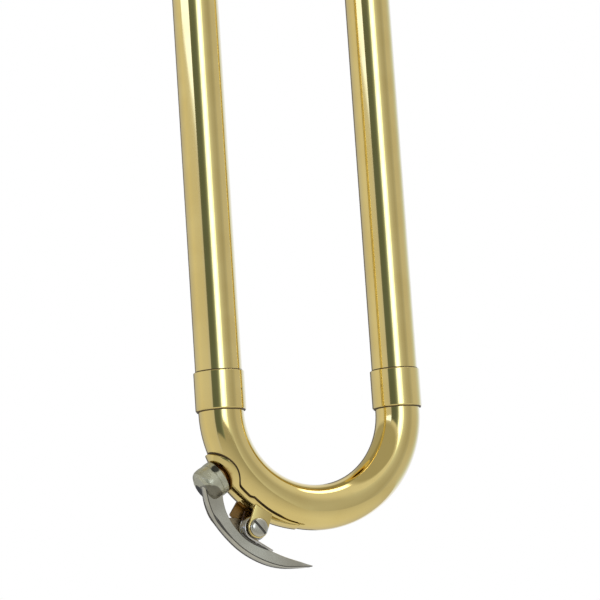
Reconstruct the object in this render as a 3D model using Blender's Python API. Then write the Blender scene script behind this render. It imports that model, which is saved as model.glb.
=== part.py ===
"""Soprano trombone in B flat, closed slide, hanging bow down.

The origin is the centre of the bell mouth, in the plane of the rim.
+Z runs up to the tuning bow, and the hand slide hangs in front of the bell,
on the -Y side, with the bell-side tube at X = 0 and the mouthpiece-side
tube at X = SLIDE_SPACING.
"""
import math

import bmesh
import bpy
import numpy as np
from mathutils import Matrix, Vector

# Bell
BELL_MOUTH_RADIUS = 0.062
BELL_LENGTH = 0.248
BELL_STEM_RADIUS = 0.0072
BELL_FLARE = 0.8
BELL_WALL = 0.0005
RIM_BEAD = 0.0022
RIM_FLAT = 0.0008
RIM_CLEARANCE = 0.0073

# Hand slide tubes
SLIDE_SPACING = 0.0556
OUTER_TUBE_RADIUS = 0.0067
OUTER_TUBE_WALL = 0.00035
OUTER_TUBE_LENGTH = 0.345
RUNNING_GAP = 0.0001
STOCKING_STEP = 0.0001
STOCKING_LENGTH = 0.075
INNER_TUBE_WALL = 0.0004
INNER_TUBE_LIFT = 0.003

# Slide bow and its ferrules
BOW_TUBE_STEP = 0.0002
BOW_TUBE_WALL = 0.0005
BOW_STRAIGHT = 0.0006
FERRULE_WALL = 0.0004
FERRULE_LENGTH = 0.011
FERRULE_EDGE = 0.0002

# Tops of the hand slide
GRIP_SLEEVE_WALL = 0.0004
GRIP_SLEEVE_LENGTH = 0.060
GRIP_SLEEVE_EDGE = 0.0008
BARREL_CLEARANCE = 0.00075
BARREL_WALL = 0.0008
BARREL_LENGTH = 0.033
BARREL_ENTRY = 0.006
BARREL_SHOULDER = 0.006
BARREL_EDGE = 0.001
BUMPER_LENGTH = 0.005
LOCK_RING_WALL = 0.0014
LOCK_RING_LENGTH = 0.015
LOCK_RING_OVERHANG = 0.007
LOCK_RING_EDGE = 0.001
LOCK_PIN_RADIUS = 0.0010
LOCK_SLOT_GAP = 0.0004
LOCK_SLOT_TURN = 35.0

# Neck joint between slide and bell
RECEIVER_LENGTH = 0.032
RECEIVER_WALL = 0.0012
RECEIVER_COLLAR = 0.0008
RECEIVER_LAP = 0.006
RECEIVER_EDGE = 0.001
THREAD_LENGTH = 0.012
TENON_LENGTH = 0.026
TENON_WALL = 0.0011
TENON_TAPER = 0.0005
TENON_FLANGE = 0.0024
TENON_RIM = 0.0012
NUT_LENGTH = 0.019
NUT_WALL = 0.00225
NUT_EDGE = 0.0015
NUT_TOP_BEVEL = 0.0008
NUT_BOTTOM_BEVEL = 0.0012
NUT_GROOVES = 8
NUT_GROOVE_RADIUS = 0.0011
NUT_GROOVE_DEPTH = 0.0006
NUT_DROP = 0.009
BARREL_DROP = 0.016

# Tuning slide
SLEEVE_TOP = 0.288
NECKPIPE_LENGTH = 0.073
TUNING_LEG_RADIUS = 0.0064
TUNING_LEG_WALL = 0.0004
TUNING_LEG_LENGTH = 0.0365
SLEEVE_WALL = 0.0004
STEM_LAP = 0.008
STEM_STEP = 0.002
TUNING_FERRULE_LENGTH = 0.010
TUNING_BOW_WALL = 0.0005

# Mouthpiece and leadpipe
MOUTH_RECEIVER_LENGTH = 0.036
MOUTH_RECEIVER_LAP = 0.008
MOUTH_RECEIVER_WALL = 0.0007
MOUTH_RECEIVER_RING = 0.0012
MOUTH_RING_LENGTH = 0.005
MOUTH_RING_SLOPE = 0.0008
MOUTH_RING_EDGE = 0.0005
SHANK_RADIUS = 0.00485
SHANK_TAPER = 0.0005
SHANK_DEPTH = 0.024
MOUTHPIECE_LENGTH = 0.087
MOUTHPIECE_RIM_RADIUS = 0.0135
MOUTHPIECE_TIP_WALL = 0.0006
BACKBORE_START = 0.014
CUP_RADIUS = 0.0083
CUP_DEPTH = 0.0115
CUP_LIP = 0.0012
THROAT_RADIUS = 0.0019
LEADPIPE_LENGTH = 0.095
LEADPIPE_WALL = 0.0004
VENTURI_LENGTH = 0.012
VENTURI_STEP = 0.0003

# Braces
BRACE_RADIUS = 0.0031
BRACE_FOOT_RADIUS = 0.0056
BRACE_FOOT_THICKNESS = 0.0009
BRACE_FOOT_SLOPE = 0.0012
BRACE_SOCKET_RADIUS = 0.0043
BRACE_SOCKET_LENGTH = 0.006
BRACE_WAIST = 0.0004
BRACE_COLLAR = 0.003
OUTER_BRACE_DROP = 0.048
INNER_BRACE_DROP = 0.016
LOWER_BELL_BRACE_RISE = 0.010
UPPER_BELL_BRACE_DROP = 0.012
TUNING_BRACE_RADIUS = 0.0022
TUNING_BRACE_FOOT = 1.6
TUNING_BRACE_THICKNESS = 0.0012

# Water key, placed by angles round the slide bow, from the bell-side ferrule
KEY_NIPPLE_ANGLE = 31.0
KEY_PIVOT_ANGLE = 58.4
KEY_PIVOT_HEIGHT = 0.0047
SADDLE_THICKNESS = 0.0006
SADDLE_PAD_REACH = 0.0067
SADDLE_PAD_WIDTH = 0.0076
SADDLE_WAIST = 0.0053
SADDLE_EAR_WIDTH = 0.0056
SADDLE_TAIL_ANGLE = 74.5
SADDLE_TIP_WIDTH = 0.0008
SADDLE_NECK_TURN = 11.0
NIPPLE_BORE_RADIUS = 0.0015
NIPPLE_TOP_RADIUS = 0.0027
NIPPLE_BASE_RADIUS = 0.0033
NIPPLE_HEIGHT = 0.0010
KEY_CUP_RADIUS = 0.0047
KEY_CUP_WALL = 0.00075
KEY_CUP_HEIGHT = 0.0060
KEY_CUP_FLOOR = 0.0017
KEY_RIM_LIFT = 0.0002
EAR_GAP = 0.0070
EAR_THICKNESS = 0.0010
EAR_RADIUS = 0.0030
EAR_LEAN = 6.7
EAR_HEEL = 3.4
FAR_EAR_LEAN = 11.3
FAR_EAR_CORNER = (10.2, 0.0042)
SCREW_RADIUS = 0.0011
SCREW_HEAD_RADIUS = 0.0027
SCREW_HEAD_HEIGHT = 0.0010
SCREW_SLOT_WIDTH = 0.0007
SCREW_SLOT_TURN = 50.0
KNUCKLE_RADIUS = 0.0019
LUG_WALL = 0.0008
LUG_WIDTH = 0.0012
LUG_STEP = 0.0001
LUG_TURN = 5.0
LUG_RISE = 0.0051
SPRING_WIRE_RADIUS = 0.00038
SPRING_CLEARANCE = 0.00025
SPRING_SPACE = 0.0041
SPRING_POINTS = 9
SPRING_TURNS = 3
SPRING_PITCH = 0.00124
SPRING_FOOT_TURN = 9.0
SPRING_TAIL_TURN = 9.9
SPRING_TAIL_RISE = 0.0040

# Clearances
SOLDER_GAP = 0.00015
SEAT_GAP = 0.0003
PIN_GAP = 0.0002
SEAT_SAGITTA = 0.0001

# Facets
TUBE_SIDES = 20
BELL_SIDES = 44
BELL_RINGS = 13
BOW_STEPS = 14

# Start of the water key lever on its cup: turn from the nipple, inner and outer
# height over the cup's crown, half width
LEVER_START = [
    (0.0, -0.0020, -0.0001, 0.0012),
    (2.6, -0.0035, 0.0002, 0.0014),
]

# Rest of the lever: angle round the bow, inner and outer height over the pivot, half width
LEVER_SPINE = [
    (37.0, -0.0020, 0.0036, 0.0015),
    (41.0, 0.0000, 0.0048, 0.0016),
    (45.5, 0.0017, 0.0056, 0.0017),
    (52.0, 0.0033, 0.0066, 0.0018),
    (59.0, 0.0041, 0.0074, 0.0021),
    (67.0, 0.0040, 0.0077, 0.0025),
    (74.0, 0.0044, 0.0075, 0.0026),
    (80.5, 0.0048, 0.0066, 0.0021),
    (86.5, 0.0054, 0.0057, 0.0008),
]

# Mouthpiece outside, from its rim down to the shank's shoulder: radius, depth under the rim
MOUTHPIECE_SHAPE = [
    (MOUTHPIECE_RIM_RADIUS - 0.0022, 0.0),
    (MOUTHPIECE_RIM_RADIUS - 0.0014, 0.0003),
    (MOUTHPIECE_RIM_RADIUS - 0.0003, 0.0015),
    (MOUTHPIECE_RIM_RADIUS, 0.0035),
    (MOUTHPIECE_RIM_RADIUS - 0.0008, 0.005),
    (0.0116, 0.008),
    (0.0111, 0.016),
    (0.0082, 0.024),
    (SHANK_RADIUS + SHANK_TAPER + 0.0006, 0.031),
    (SHANK_RADIUS + SHANK_TAPER + 0.0004, MOUTHPIECE_LENGTH - SHANK_DEPTH - 0.012),
]

FINISHES = {
    "lacquered_brass": ((0.78, 0.62, 0.27), 0.12, 1.0),
    "nickel_silver": ((0.66, 0.64, 0.58), 0.18, 1.0),
    "chrome": ((0.78, 0.79, 0.80), 0.06, 1.0),
    "silver_plate": ((0.86, 0.85, 0.82), 0.10, 1.0),
    "steel_spring": ((0.50, 0.50, 0.50), 0.25, 1.0),
    "cork": ((0.55, 0.36, 0.20), 0.90, 0.0),
    "felt": ((0.05, 0.05, 0.06), 0.95, 0.0),
}

# Radii that follow from the running fits
INNER_SLIDE_RADIUS = OUTER_TUBE_RADIUS - OUTER_TUBE_WALL - RUNNING_GAP
INNER_TUBE_RADIUS = INNER_SLIDE_RADIUS - STOCKING_STEP
INNER_BORE = INNER_TUBE_RADIUS - INNER_TUBE_WALL
BOW_TUBE_RADIUS = OUTER_TUBE_RADIUS - BOW_TUBE_STEP
FERRULE_RADIUS = max(OUTER_TUBE_RADIUS, BOW_TUBE_RADIUS) + SOLDER_GAP + FERRULE_WALL
GRIP_SLEEVE_RADIUS = OUTER_TUBE_RADIUS + SOLDER_GAP + GRIP_SLEEVE_WALL
BARREL_RADIUS = GRIP_SLEEVE_RADIUS + BARREL_CLEARANCE + BARREL_WALL
LOCK_RING_RADIUS = BARREL_RADIUS + PIN_GAP + LOCK_RING_WALL
SLEEVE_BORE = TUNING_LEG_RADIUS + RUNNING_GAP
SLEEVE_RADIUS = SLEEVE_BORE + SLEEVE_WALL
TENON_FOOT = INNER_TUBE_RADIUS + SOLDER_GAP + TENON_WALL
RECEIVER_RADIUS = TENON_FOOT + SOLDER_GAP + RECEIVER_WALL
NUT_RADIUS = RECEIVER_RADIUS + PIN_GAP + NUT_WALL

# Places along the instrument, worked out from the sleeve tops downwards
NECK_Y = -(BELL_MOUTH_RADIUS + RIM_CLEARANCE + OUTER_TUBE_RADIUS)
NECKPIPE_BOTTOM = SLEEVE_TOP - NECKPIPE_LENGTH
RECEIVER_TOP = NECKPIPE_BOTTOM + RECEIVER_LAP
RECEIVER_BOTTOM = RECEIVER_TOP - RECEIVER_LENGTH
BARREL_TOP = RECEIVER_BOTTOM - BARREL_DROP
BARREL_BOTTOM = BARREL_TOP - BARREL_LENGTH
OUTER_TOP = BARREL_BOTTOM + BARREL_ENTRY
OUTER_BOTTOM = OUTER_TOP - OUTER_TUBE_LENGTH
FERRULE_BOTTOM = OUTER_BOTTOM - FERRULE_LENGTH / 2
BOW_Z = FERRULE_BOTTOM - BOW_STRAIGHT
BOW_RADIUS = SLIDE_SPACING / 2
BOW_REACH = BOW_RADIUS + BOW_TUBE_RADIUS
SADDLE_BORE = BOW_TUBE_RADIUS + SOLDER_GAP + SEAT_SAGITTA
SADDLE_BACK = SADDLE_BORE + SADDLE_THICKNESS
TUNING_BOW_RADIUS = -NECK_Y / 2
TUNING_BOW_Z = SLEEVE_TOP + SEAT_GAP + TUNING_FERRULE_LENGTH
MOUTH_RECEIVER_BOTTOM = BARREL_TOP + SEAT_GAP
MOUTH_RECEIVER_TOP = MOUTH_RECEIVER_BOTTOM + MOUTH_RECEIVER_LENGTH
BOW_CENTRE = Vector((BOW_RADIUS, NECK_Y, BOW_Z))
PIVOT_REACH = BOW_REACH + KEY_PIVOT_HEIGHT
SPRING_REACH = min(PIVOT_REACH - BOW_RADIUS - SADDLE_BACK, SPRING_SPACE) - SPRING_CLEARANCE
SPRING_COIL_RADIUS = SPRING_REACH - SPRING_WIRE_RADIUS


def clear_scene():
    """Remove every object that the opened file holds."""
    for thing in list(bpy.data.objects):
        bpy.data.objects.remove(thing)


def finish_material(name):
    """Principled material for one of the finishes, made once."""
    if name in bpy.data.materials:
        return bpy.data.materials[name]
    colour, roughness, metallic = FINISHES[name]
    material = bpy.data.materials.new(name)
    material.use_nodes = True
    shader = material.node_tree.nodes["Principled BSDF"]
    shader.inputs["Base Color"].default_value = (*colour, 1.0)
    shader.inputs["Roughness"].default_value = roughness
    shader.inputs["Metallic"].default_value = metallic
    return material


def body_empty(name, world, parent=None):
    """Empty that carries one moving body, standing on its joint's axis."""
    empty = bpy.data.objects.new(name, None)
    empty.empty_display_size = 0.01
    bpy.context.collection.objects.link(empty)
    empty.parent = parent
    base = Vector(parent["world"]) if parent else Vector((0, 0, 0))
    empty.location = Vector(world) - base
    empty["world"] = tuple(world)
    return empty


def solid(name, bm, finish, body, world, sharp=35):
    """Turn a bmesh into a named object that hangs on a body's empty."""
    bmesh.ops.recalc_face_normals(bm, faces=bm.faces)
    mesh = bpy.data.meshes.new(name)
    bm.to_mesh(mesh)
    bm.free()
    mesh.shade_smooth()
    mesh.set_sharp_from_angle(angle=math.radians(sharp))
    mesh.materials.append(finish_material(finish))
    thing = bpy.data.objects.new(name, mesh)
    bpy.context.collection.objects.link(thing)
    thing.parent = body
    thing.location = Vector(world) - Vector(body["world"])
    return thing


def helper(name, bm, body, world):
    """A shape that only cuts or joins, left out of the model."""
    thing = solid(name, bm, "nickel_silver", body, world)
    thing.hide_render = True
    thing.display_type = "WIRE"
    return thing


def boolean(thing, other, operation):
    """Join a helper to an object, or cut it away."""
    modifier = thing.modifiers.new(other.name, "BOOLEAN")
    modifier.operation = operation
    modifier.solver = "EXACT"
    modifier.object = other


def turned(outline, sides=TUBE_SIDES, axis="Z"):
    """Spin an outline of (radius, height) points round an axis."""
    bm = bmesh.new()
    ring = [bm.verts.new((radius, 0, height)) for radius, height in outline]
    closed = all(radius > 0 for radius, _ in outline)
    pairs = list(zip(ring, ring[1:]))
    if closed:
        pairs.append((ring[-1], ring[0]))
    edges = [bm.edges.new(pair) for pair in pairs]
    bmesh.ops.spin(bm, geom=ring + edges, cent=(0, 0, 0), axis=(0, 0, 1),
                   angle=2 * math.pi, steps=sides, use_merge=True)
    bmesh.ops.remove_doubles(bm, verts=bm.verts, dist=1e-6)
    if axis != "Z":
        turn = Vector((0, 0, 1)).rotation_difference(Vector(axis)).to_matrix()
        bmesh.ops.transform(bm, matrix=turn.to_4x4(), verts=bm.verts)
    return bm


def tube(outer, inner, bottom, top):
    """Plain tube between two heights."""
    return turned([(outer, bottom), (outer, top), (inner, top), (inner, bottom)])


def rod(radius, start, end, sides=TUBE_SIDES, axis="Z"):
    """Plain round bar between two heights along an axis."""
    return turned([(0, start), (radius, start), (radius, end), (0, end)], sides, axis)


def lofted(rings):
    """Skin a row of closed sections, with a flat cap on each end."""
    bm = bmesh.new()
    rows = [[bm.verts.new(point) for point in ring] for ring in rings]
    count = len(rows[0])
    for near, far in zip(rows, rows[1:]):
        for i in range(count):
            j = (i + 1) % count
            bm.faces.new((near[i], near[j], far[j], far[i]))
    bm.faces.new(rows[0])
    bm.faces.new(reversed(rows[-1]))
    return bm


def prism(outline, low, high):
    """Plate with an (x, z) outline, between two y values."""
    return lofted([[(x, y, z) for x, z in outline] for y in (low, high)])


def bent_tube(centre_radius, outer, inner, straight, steps):
    """U bend in the XZ plane, opening upwards, with short straight ends."""
    stations = [(0.0, straight)] + [(math.pi * i / steps, 0.0) for i in range(steps + 1)]
    stations.append((math.pi, straight))
    bm = bmesh.new()
    rows = []
    for turn, lift in stations:
        row = []
        for radius in (outer, inner):
            for i in range(TUBE_SIDES):
                a = 2 * math.pi * i / TUBE_SIDES
                reach = centre_radius + radius * math.cos(a)
                row.append(bm.verts.new((-reach * math.cos(turn), radius * math.sin(a),
                                         lift - reach * math.sin(turn))))
        rows.append(row)
    for i in range(TUBE_SIDES):
        j = (i + 1) % TUBE_SIDES
        k, m = i + TUBE_SIDES, j + TUBE_SIDES
        for near, far in zip(rows, rows[1:]):
            bm.faces.new((near[i], near[j], far[j], far[i]))
            bm.faces.new((near[m], near[k], far[k], far[m]))
        for row in (rows[0], rows[-1]):
            bm.faces.new((row[i], row[j], row[m], row[k]))
    return bm


def swept_wire(points, radius, sides):
    """Round wire along a row of points, without twist."""
    points = [Vector(p) for p in points]
    rings = []
    side = None
    for i, point in enumerate(points):
        ahead = points[min(i + 1, len(points) - 1)]
        behind = points[max(i - 1, 0)]
        along = (ahead - behind).normalized()
        if side is None:
            side = along.orthogonal().normalized()
        side = (side - along * side.dot(along)).normalized()
        other = along.cross(side)
        turn = [2 * math.pi * k / sides for k in range(sides)]
        rings.append([point + radius * (math.cos(a) * side + math.sin(a) * other) for a in turn])
    return lofted(rings)


def bell_radius(height):
    """Inside radius of the bell at a height above the rim plane."""
    mouth = BELL_MOUTH_RADIUS - RIM_FLAT
    ratio = (BELL_STEM_RADIUS / mouth) ** (1 / BELL_FLARE)
    offset = BELL_LENGTH * ratio / (1 - ratio)
    return mouth * (offset / (height + offset)) ** BELL_FLARE


def on_bow(angle, reach, side=0.0):
    """Point measured from the slide bow's centre, at an angle down from the bell side."""
    turn = math.radians(angle)
    return Vector((-reach * math.cos(turn), side, -reach * math.sin(turn)))


def smooth_rows(rows, steps):
    """Carry a row of number lists through a Catmull-Rom curve."""
    rows = np.array(rows, dtype=float)
    padded = np.vstack([2 * rows[0] - rows[1], rows, 2 * rows[-1] - rows[-2]])
    result = []
    for i in range(len(rows) - 1):
        a, b, c, d = padded[i:i + 4]
        for t in np.arange(steps) / steps:
            result.append(0.5 * (2 * b + (c - a) * t + (2 * a - 5 * b + 4 * c - d) * t ** 2
                                 + (3 * b - a - 3 * c + d) * t ** 3))
    result.append(rows[-1])
    return result


def make_bell(body):
    """Flared bell with its rolled rim, one wall thick, open at both ends."""
    shares = np.linspace(0, 1, BELL_RINGS) ** 2.1
    inside = [(bell_radius(BELL_LENGTH * s), BELL_LENGTH * s) for s in shares]
    outside = []
    for radius, height in inside:
        step = 1e-5
        slope = (bell_radius(height + step) - radius) / step
        length = math.hypot(1, slope)
        outside.append((radius + BELL_WALL / length, height - slope * BELL_WALL / length))
    outside = [point for point in outside if point[1] > RIM_BEAD]
    centre = (BELL_MOUTH_RADIUS - RIM_BEAD / 2, RIM_BEAD / 2)
    bead = [(centre[0] + RIM_BEAD / 2 * math.cos(a), centre[1] + RIM_BEAD / 2 * math.sin(a))
            for a in np.radians((-38, 0, 40, 85, 135))]
    edge = (BELL_MOUTH_RADIUS - RIM_FLAT / 4, 0.0)
    outline = inside + list(reversed(outside)) + list(reversed(bead)) + [edge]
    outline[len(inside) - 1] = (BELL_STEM_RADIUS, BELL_LENGTH)
    outline[len(inside)] = (BELL_STEM_RADIUS + BELL_WALL, BELL_LENGTH)
    solid("bell", turned(outline, BELL_SIDES), "lacquered_brass", body, (0, 0, 0))


def make_flange(name, body, tube_radius, place, axis, finish="nickel_silver"):
    """Cast foot that hugs a tube and holds the end of a brace bar."""
    top = tube_radius + BRACE_SOCKET_LENGTH
    low = math.sqrt(tube_radius ** 2 - BRACE_FOOT_RADIUS ** 2) + SOLDER_GAP
    bore = BRACE_RADIUS + SOLDER_GAP
    shoulder = tube_radius + BRACE_FOOT_THICKNESS
    outline = [(bore, low), (BRACE_FOOT_RADIUS, low), (BRACE_FOOT_RADIUS, shoulder),
               (BRACE_SOCKET_RADIUS, shoulder + BRACE_FOOT_SLOPE), (BRACE_SOCKET_RADIUS, top), (bore, top)]
    foot = solid(name, turned(outline, 16, axis), finish, body, place)
    reach = 2 * BRACE_FOOT_RADIUS
    cutter = helper("cutter_" + name, rod(tube_radius + SOLDER_GAP, -reach, reach), body, place)
    boolean(foot, cutter, "DIFFERENCE")


def make_brace(name, body, start, end, start_radius, end_radius):
    """Round bar between two parallel tubes, with a cast foot at each end."""
    start, end = Vector(start), Vector(end)
    axis = (end - start).normalized()
    length = (end - start).length
    low = start_radius + SEAT_GAP
    high = length - end_radius - SEAT_GAP
    inset = BRACE_SOCKET_LENGTH + BRACE_COLLAR
    outline = [(0, low), (BRACE_RADIUS, low), (BRACE_RADIUS, low + inset),
               (BRACE_RADIUS - BRACE_WAIST, low + inset + BRACE_WAIST),
               (BRACE_RADIUS - BRACE_WAIST, high - inset - BRACE_WAIST),
               (BRACE_RADIUS, high - inset), (BRACE_RADIUS, high), (0, high)]
    solid(name + "_bar", turned(outline, 16, tuple(axis)), "nickel_silver", body, start)
    make_flange(name + "_foot_a", body, start_radius, start, tuple(axis))
    make_flange(name + "_foot_b", body, end_radius, end, tuple(-axis))


def make_bell_section(body):
    """Bell, its stem sleeve, the neckpipe, the neck receiver and two braces."""
    make_bell(body)
    neck = (0, NECK_Y, 0)
    bottom = BELL_LENGTH - STEM_LAP
    shoulder = BELL_LENGTH + SEAT_GAP
    stem_bore = bell_radius(bottom) + BELL_WALL + 2 * SOLDER_GAP
    stem_sleeve = stem_bore + SLEEVE_WALL
    outline = [(stem_sleeve, bottom), (stem_sleeve, shoulder + STEM_STEP),
               (SLEEVE_RADIUS, shoulder + 2 * STEM_STEP), (SLEEVE_RADIUS, SLEEVE_TOP),
               (SLEEVE_BORE, SLEEVE_TOP), (SLEEVE_BORE, shoulder),
               (stem_bore, shoulder), (stem_bore, bottom)]
    solid("stem_sleeve", turned(outline), "nickel_silver", body, (0, 0, 0))
    solid("neckpipe", tube(SLEEVE_RADIUS, SLEEVE_BORE, NECKPIPE_BOTTOM, SLEEVE_TOP),
          "nickel_silver", body, neck)

    seat = NECKPIPE_BOTTOM - SEAT_GAP
    lap_bore = SLEEVE_RADIUS + SOLDER_GAP
    tip = INNER_TUBE_RADIUS + SOLDER_GAP + TENON_WALL - TENON_TAPER + SOLDER_GAP
    mouth = tip + TENON_TAPER
    tenon_top = RECEIVER_BOTTOM + TENON_LENGTH - TENON_FLANGE
    thread_root = RECEIVER_RADIUS
    collar = RECEIVER_RADIUS + RECEIVER_COLLAR
    outline = [(thread_root, RECEIVER_BOTTOM), (thread_root, RECEIVER_BOTTOM + THREAD_LENGTH),
               (collar, RECEIVER_BOTTOM + THREAD_LENGTH + RECEIVER_EDGE),
               (collar, RECEIVER_TOP - 2 * RECEIVER_EDGE),
               (collar - RECEIVER_EDGE, RECEIVER_TOP),
               (lap_bore, RECEIVER_TOP), (lap_bore, seat),
               (SLEEVE_BORE, seat), (SLEEVE_BORE, tenon_top + SEAT_GAP),
               (tip, tenon_top + SEAT_GAP), (mouth, RECEIVER_BOTTOM)]
    solid("neck_receiver", turned(outline), "nickel_silver", body, neck)

    lower = RECEIVER_TOP + LOWER_BELL_BRACE_RISE
    stem = bell_radius(lower - BRACE_FOOT_RADIUS) + BELL_WALL
    upper = SLEEVE_TOP - UPPER_BELL_BRACE_DROP
    make_brace("lower_bell_brace", body, (0, NECK_Y, lower), (0, 0, lower), SLEEVE_RADIUS, stem)
    make_brace("upper_bell_brace", body, (0, NECK_Y, upper), (0, 0, upper),
               SLEEVE_RADIUS, SLEEVE_RADIUS)


def make_tuning_slide(body):
    """Top bow with two legs, two ferrules and its cross brace."""
    bore = TUNING_LEG_RADIUS - TUNING_LEG_WALL
    leg_top = SLEEVE_TOP + TUNING_FERRULE_LENGTH / 2
    bow_end = leg_top + SEAT_GAP
    straight = TUNING_BOW_Z - bow_end
    ferrule_bore = TUNING_LEG_RADIUS + SOLDER_GAP
    ferrule_radius = SLEEVE_RADIUS
    low = SLEEVE_TOP + SEAT_GAP
    high = low + TUNING_FERRULE_LENGTH
    for side, y in (("bell_side", 0), ("neck_side", NECK_Y)):
        bottom = SLEEVE_TOP - TUNING_LEG_LENGTH
        solid("tuning_leg_" + side, tube(TUNING_LEG_RADIUS, bore, bottom, leg_top),
              "chrome", body, (0, y, 0))
        solid("tuning_ferrule_" + side, tube(ferrule_radius, ferrule_bore, low, high),
              "lacquered_brass", body, (0, y, 0))
    bow = bent_tube(TUNING_BOW_RADIUS, TUNING_LEG_RADIUS, TUNING_LEG_RADIUS - TUNING_BOW_WALL,
                    straight, BOW_STEPS)
    turn = Matrix.Rotation(math.pi / 2, 4, "Z") @ Matrix.Rotation(math.pi, 4, "Y")
    bmesh.ops.transform(bow, matrix=turn, verts=bow.verts)
    solid("tuning_bow", bow, "lacquered_brass", body, (0, NECK_Y / 2, TUNING_BOW_Z))
    height = high - TUNING_FERRULE_LENGTH / 2
    start = Vector((0, NECK_Y, height))
    bar_low = ferrule_radius + SEAT_GAP
    bar_high = -NECK_Y - ferrule_radius - SEAT_GAP
    foot = TUNING_BRACE_FOOT * TUNING_BRACE_RADIUS
    thick = TUNING_BRACE_THICKNESS
    outline = [(0, bar_low), (foot, bar_low), (foot, bar_low + thick),
               (TUNING_BRACE_RADIUS, bar_low + 3 * thick),
               (TUNING_BRACE_RADIUS, bar_high - 3 * thick),
               (foot, bar_high - thick), (foot, bar_high), (0, bar_high)]
    solid("tuning_brace", turned(outline, 16, (0, 1, 0)), "nickel_silver", body, start)


def make_inner_slide(body):
    """Inner tubes with stockings, cork barrels, bumpers, tenon, brace and receiver."""
    bottom = OUTER_BOTTOM + INNER_TUBE_LIFT
    stocking_top = bottom + STOCKING_LENGTH
    tenon_bottom = RECEIVER_BOTTOM - TENON_FLANGE
    tops = {"bell_side": tenon_bottom + TENON_LENGTH - SEAT_GAP,
            "mouthpiece_side": MOUTH_RECEIVER_BOTTOM + MOUTH_RECEIVER_LAP}
    places = {"bell_side": 0, "mouthpiece_side": SLIDE_SPACING}
    neck_bore = INNER_TUBE_RADIUS + SOLDER_GAP
    chamber = BARREL_RADIUS - BARREL_WALL
    shoulder = BARREL_TOP - BARREL_SHOULDER
    for side, x in places.items():
        outline = [(INNER_SLIDE_RADIUS, bottom), (INNER_SLIDE_RADIUS, stocking_top),
                   (INNER_TUBE_RADIUS, stocking_top + BARREL_EDGE), (INNER_TUBE_RADIUS, tops[side]),
                   (INNER_BORE, tops[side]), (INNER_BORE, bottom)]
        solid("inner_tube_" + side, turned(outline), "chrome", body, (x, NECK_Y, 0))
        outline = [(BARREL_RADIUS, BARREL_BOTTOM), (BARREL_RADIUS, shoulder),
                   (neck_bore + BARREL_WALL, BARREL_TOP - BARREL_EDGE),
                   (neck_bore + 0.5 * BARREL_WALL, BARREL_TOP), (neck_bore, BARREL_TOP),
                   (neck_bore, shoulder - BARREL_WALL), (chamber, shoulder - BARREL_WALL),
                   (chamber, BARREL_BOTTOM)]
        solid("cork_barrel_" + side, turned(outline), "nickel_silver", body, (x, NECK_Y, 0))
        roof = shoulder - BARREL_WALL - SEAT_GAP
        solid("bumper_" + side, tube(chamber - SOLDER_GAP, neck_bore, roof - BUMPER_LENGTH, roof),
              "felt", body, (x, NECK_Y, 0))
    height = BARREL_TOP - INNER_BRACE_DROP
    make_brace("inner_brace", body, (0, NECK_Y, height), (SLIDE_SPACING, NECK_Y, height),
               BARREL_RADIUS, BARREL_RADIUS)

    top = tenon_bottom + TENON_LENGTH
    flange = TENON_FOOT + TENON_RIM
    outline = [(flange, tenon_bottom), (flange, RECEIVER_BOTTOM - SEAT_GAP),
               (TENON_FOOT, RECEIVER_BOTTOM - SEAT_GAP), (TENON_FOOT - TENON_TAPER, top),
               (neck_bore, top), (neck_bore, tenon_bottom)]
    solid("slide_tenon", turned(outline), "nickel_silver", body, (0, NECK_Y, 0))

    lap_top = MOUTH_RECEIVER_BOTTOM + MOUTH_RECEIVER_LAP + SEAT_GAP
    ring = neck_bore + MOUTH_RECEIVER_RING
    socket = SHANK_RADIUS + SHANK_TAPER + SOLDER_GAP
    socket_low = SHANK_RADIUS + SOLDER_GAP
    seat = MOUTH_RECEIVER_TOP - SHANK_DEPTH - SEAT_GAP
    ring_bottom = MOUTH_RECEIVER_TOP - MOUTH_RING_LENGTH
    outline = [(neck_bore + MOUTH_RECEIVER_WALL, MOUTH_RECEIVER_BOTTOM),
               (neck_bore + MOUTH_RECEIVER_WALL, ring_bottom),
               (ring, ring_bottom + MOUTH_RING_SLOPE), (ring, MOUTH_RECEIVER_TOP - MOUTH_RING_EDGE),
               (ring - MOUTH_RING_EDGE, MOUTH_RECEIVER_TOP), (socket, MOUTH_RECEIVER_TOP),
               (socket_low, seat), (socket_low, lap_top),
               (neck_bore, lap_top), (neck_bore, MOUTH_RECEIVER_BOTTOM)]
    solid("mouthpiece_receiver", turned(outline), "nickel_silver", body,
          (SLIDE_SPACING, NECK_Y, 0))
    pipe = INNER_BORE - SOLDER_GAP
    pipe_top = MOUTH_RECEIVER_BOTTOM + MOUTH_RECEIVER_LAP - SEAT_GAP
    venturi = SHANK_RADIUS - LEADPIPE_WALL - VENTURI_STEP
    outline = [(pipe, pipe_top - LEADPIPE_LENGTH), (pipe, pipe_top),
               (venturi + VENTURI_STEP, pipe_top), (venturi, pipe_top - VENTURI_LENGTH),
               (pipe - LEADPIPE_WALL, pipe_top - LEADPIPE_LENGTH)]
    solid("leadpipe", turned(outline), "lacquered_brass", body, (SLIDE_SPACING, NECK_Y, 0))


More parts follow.
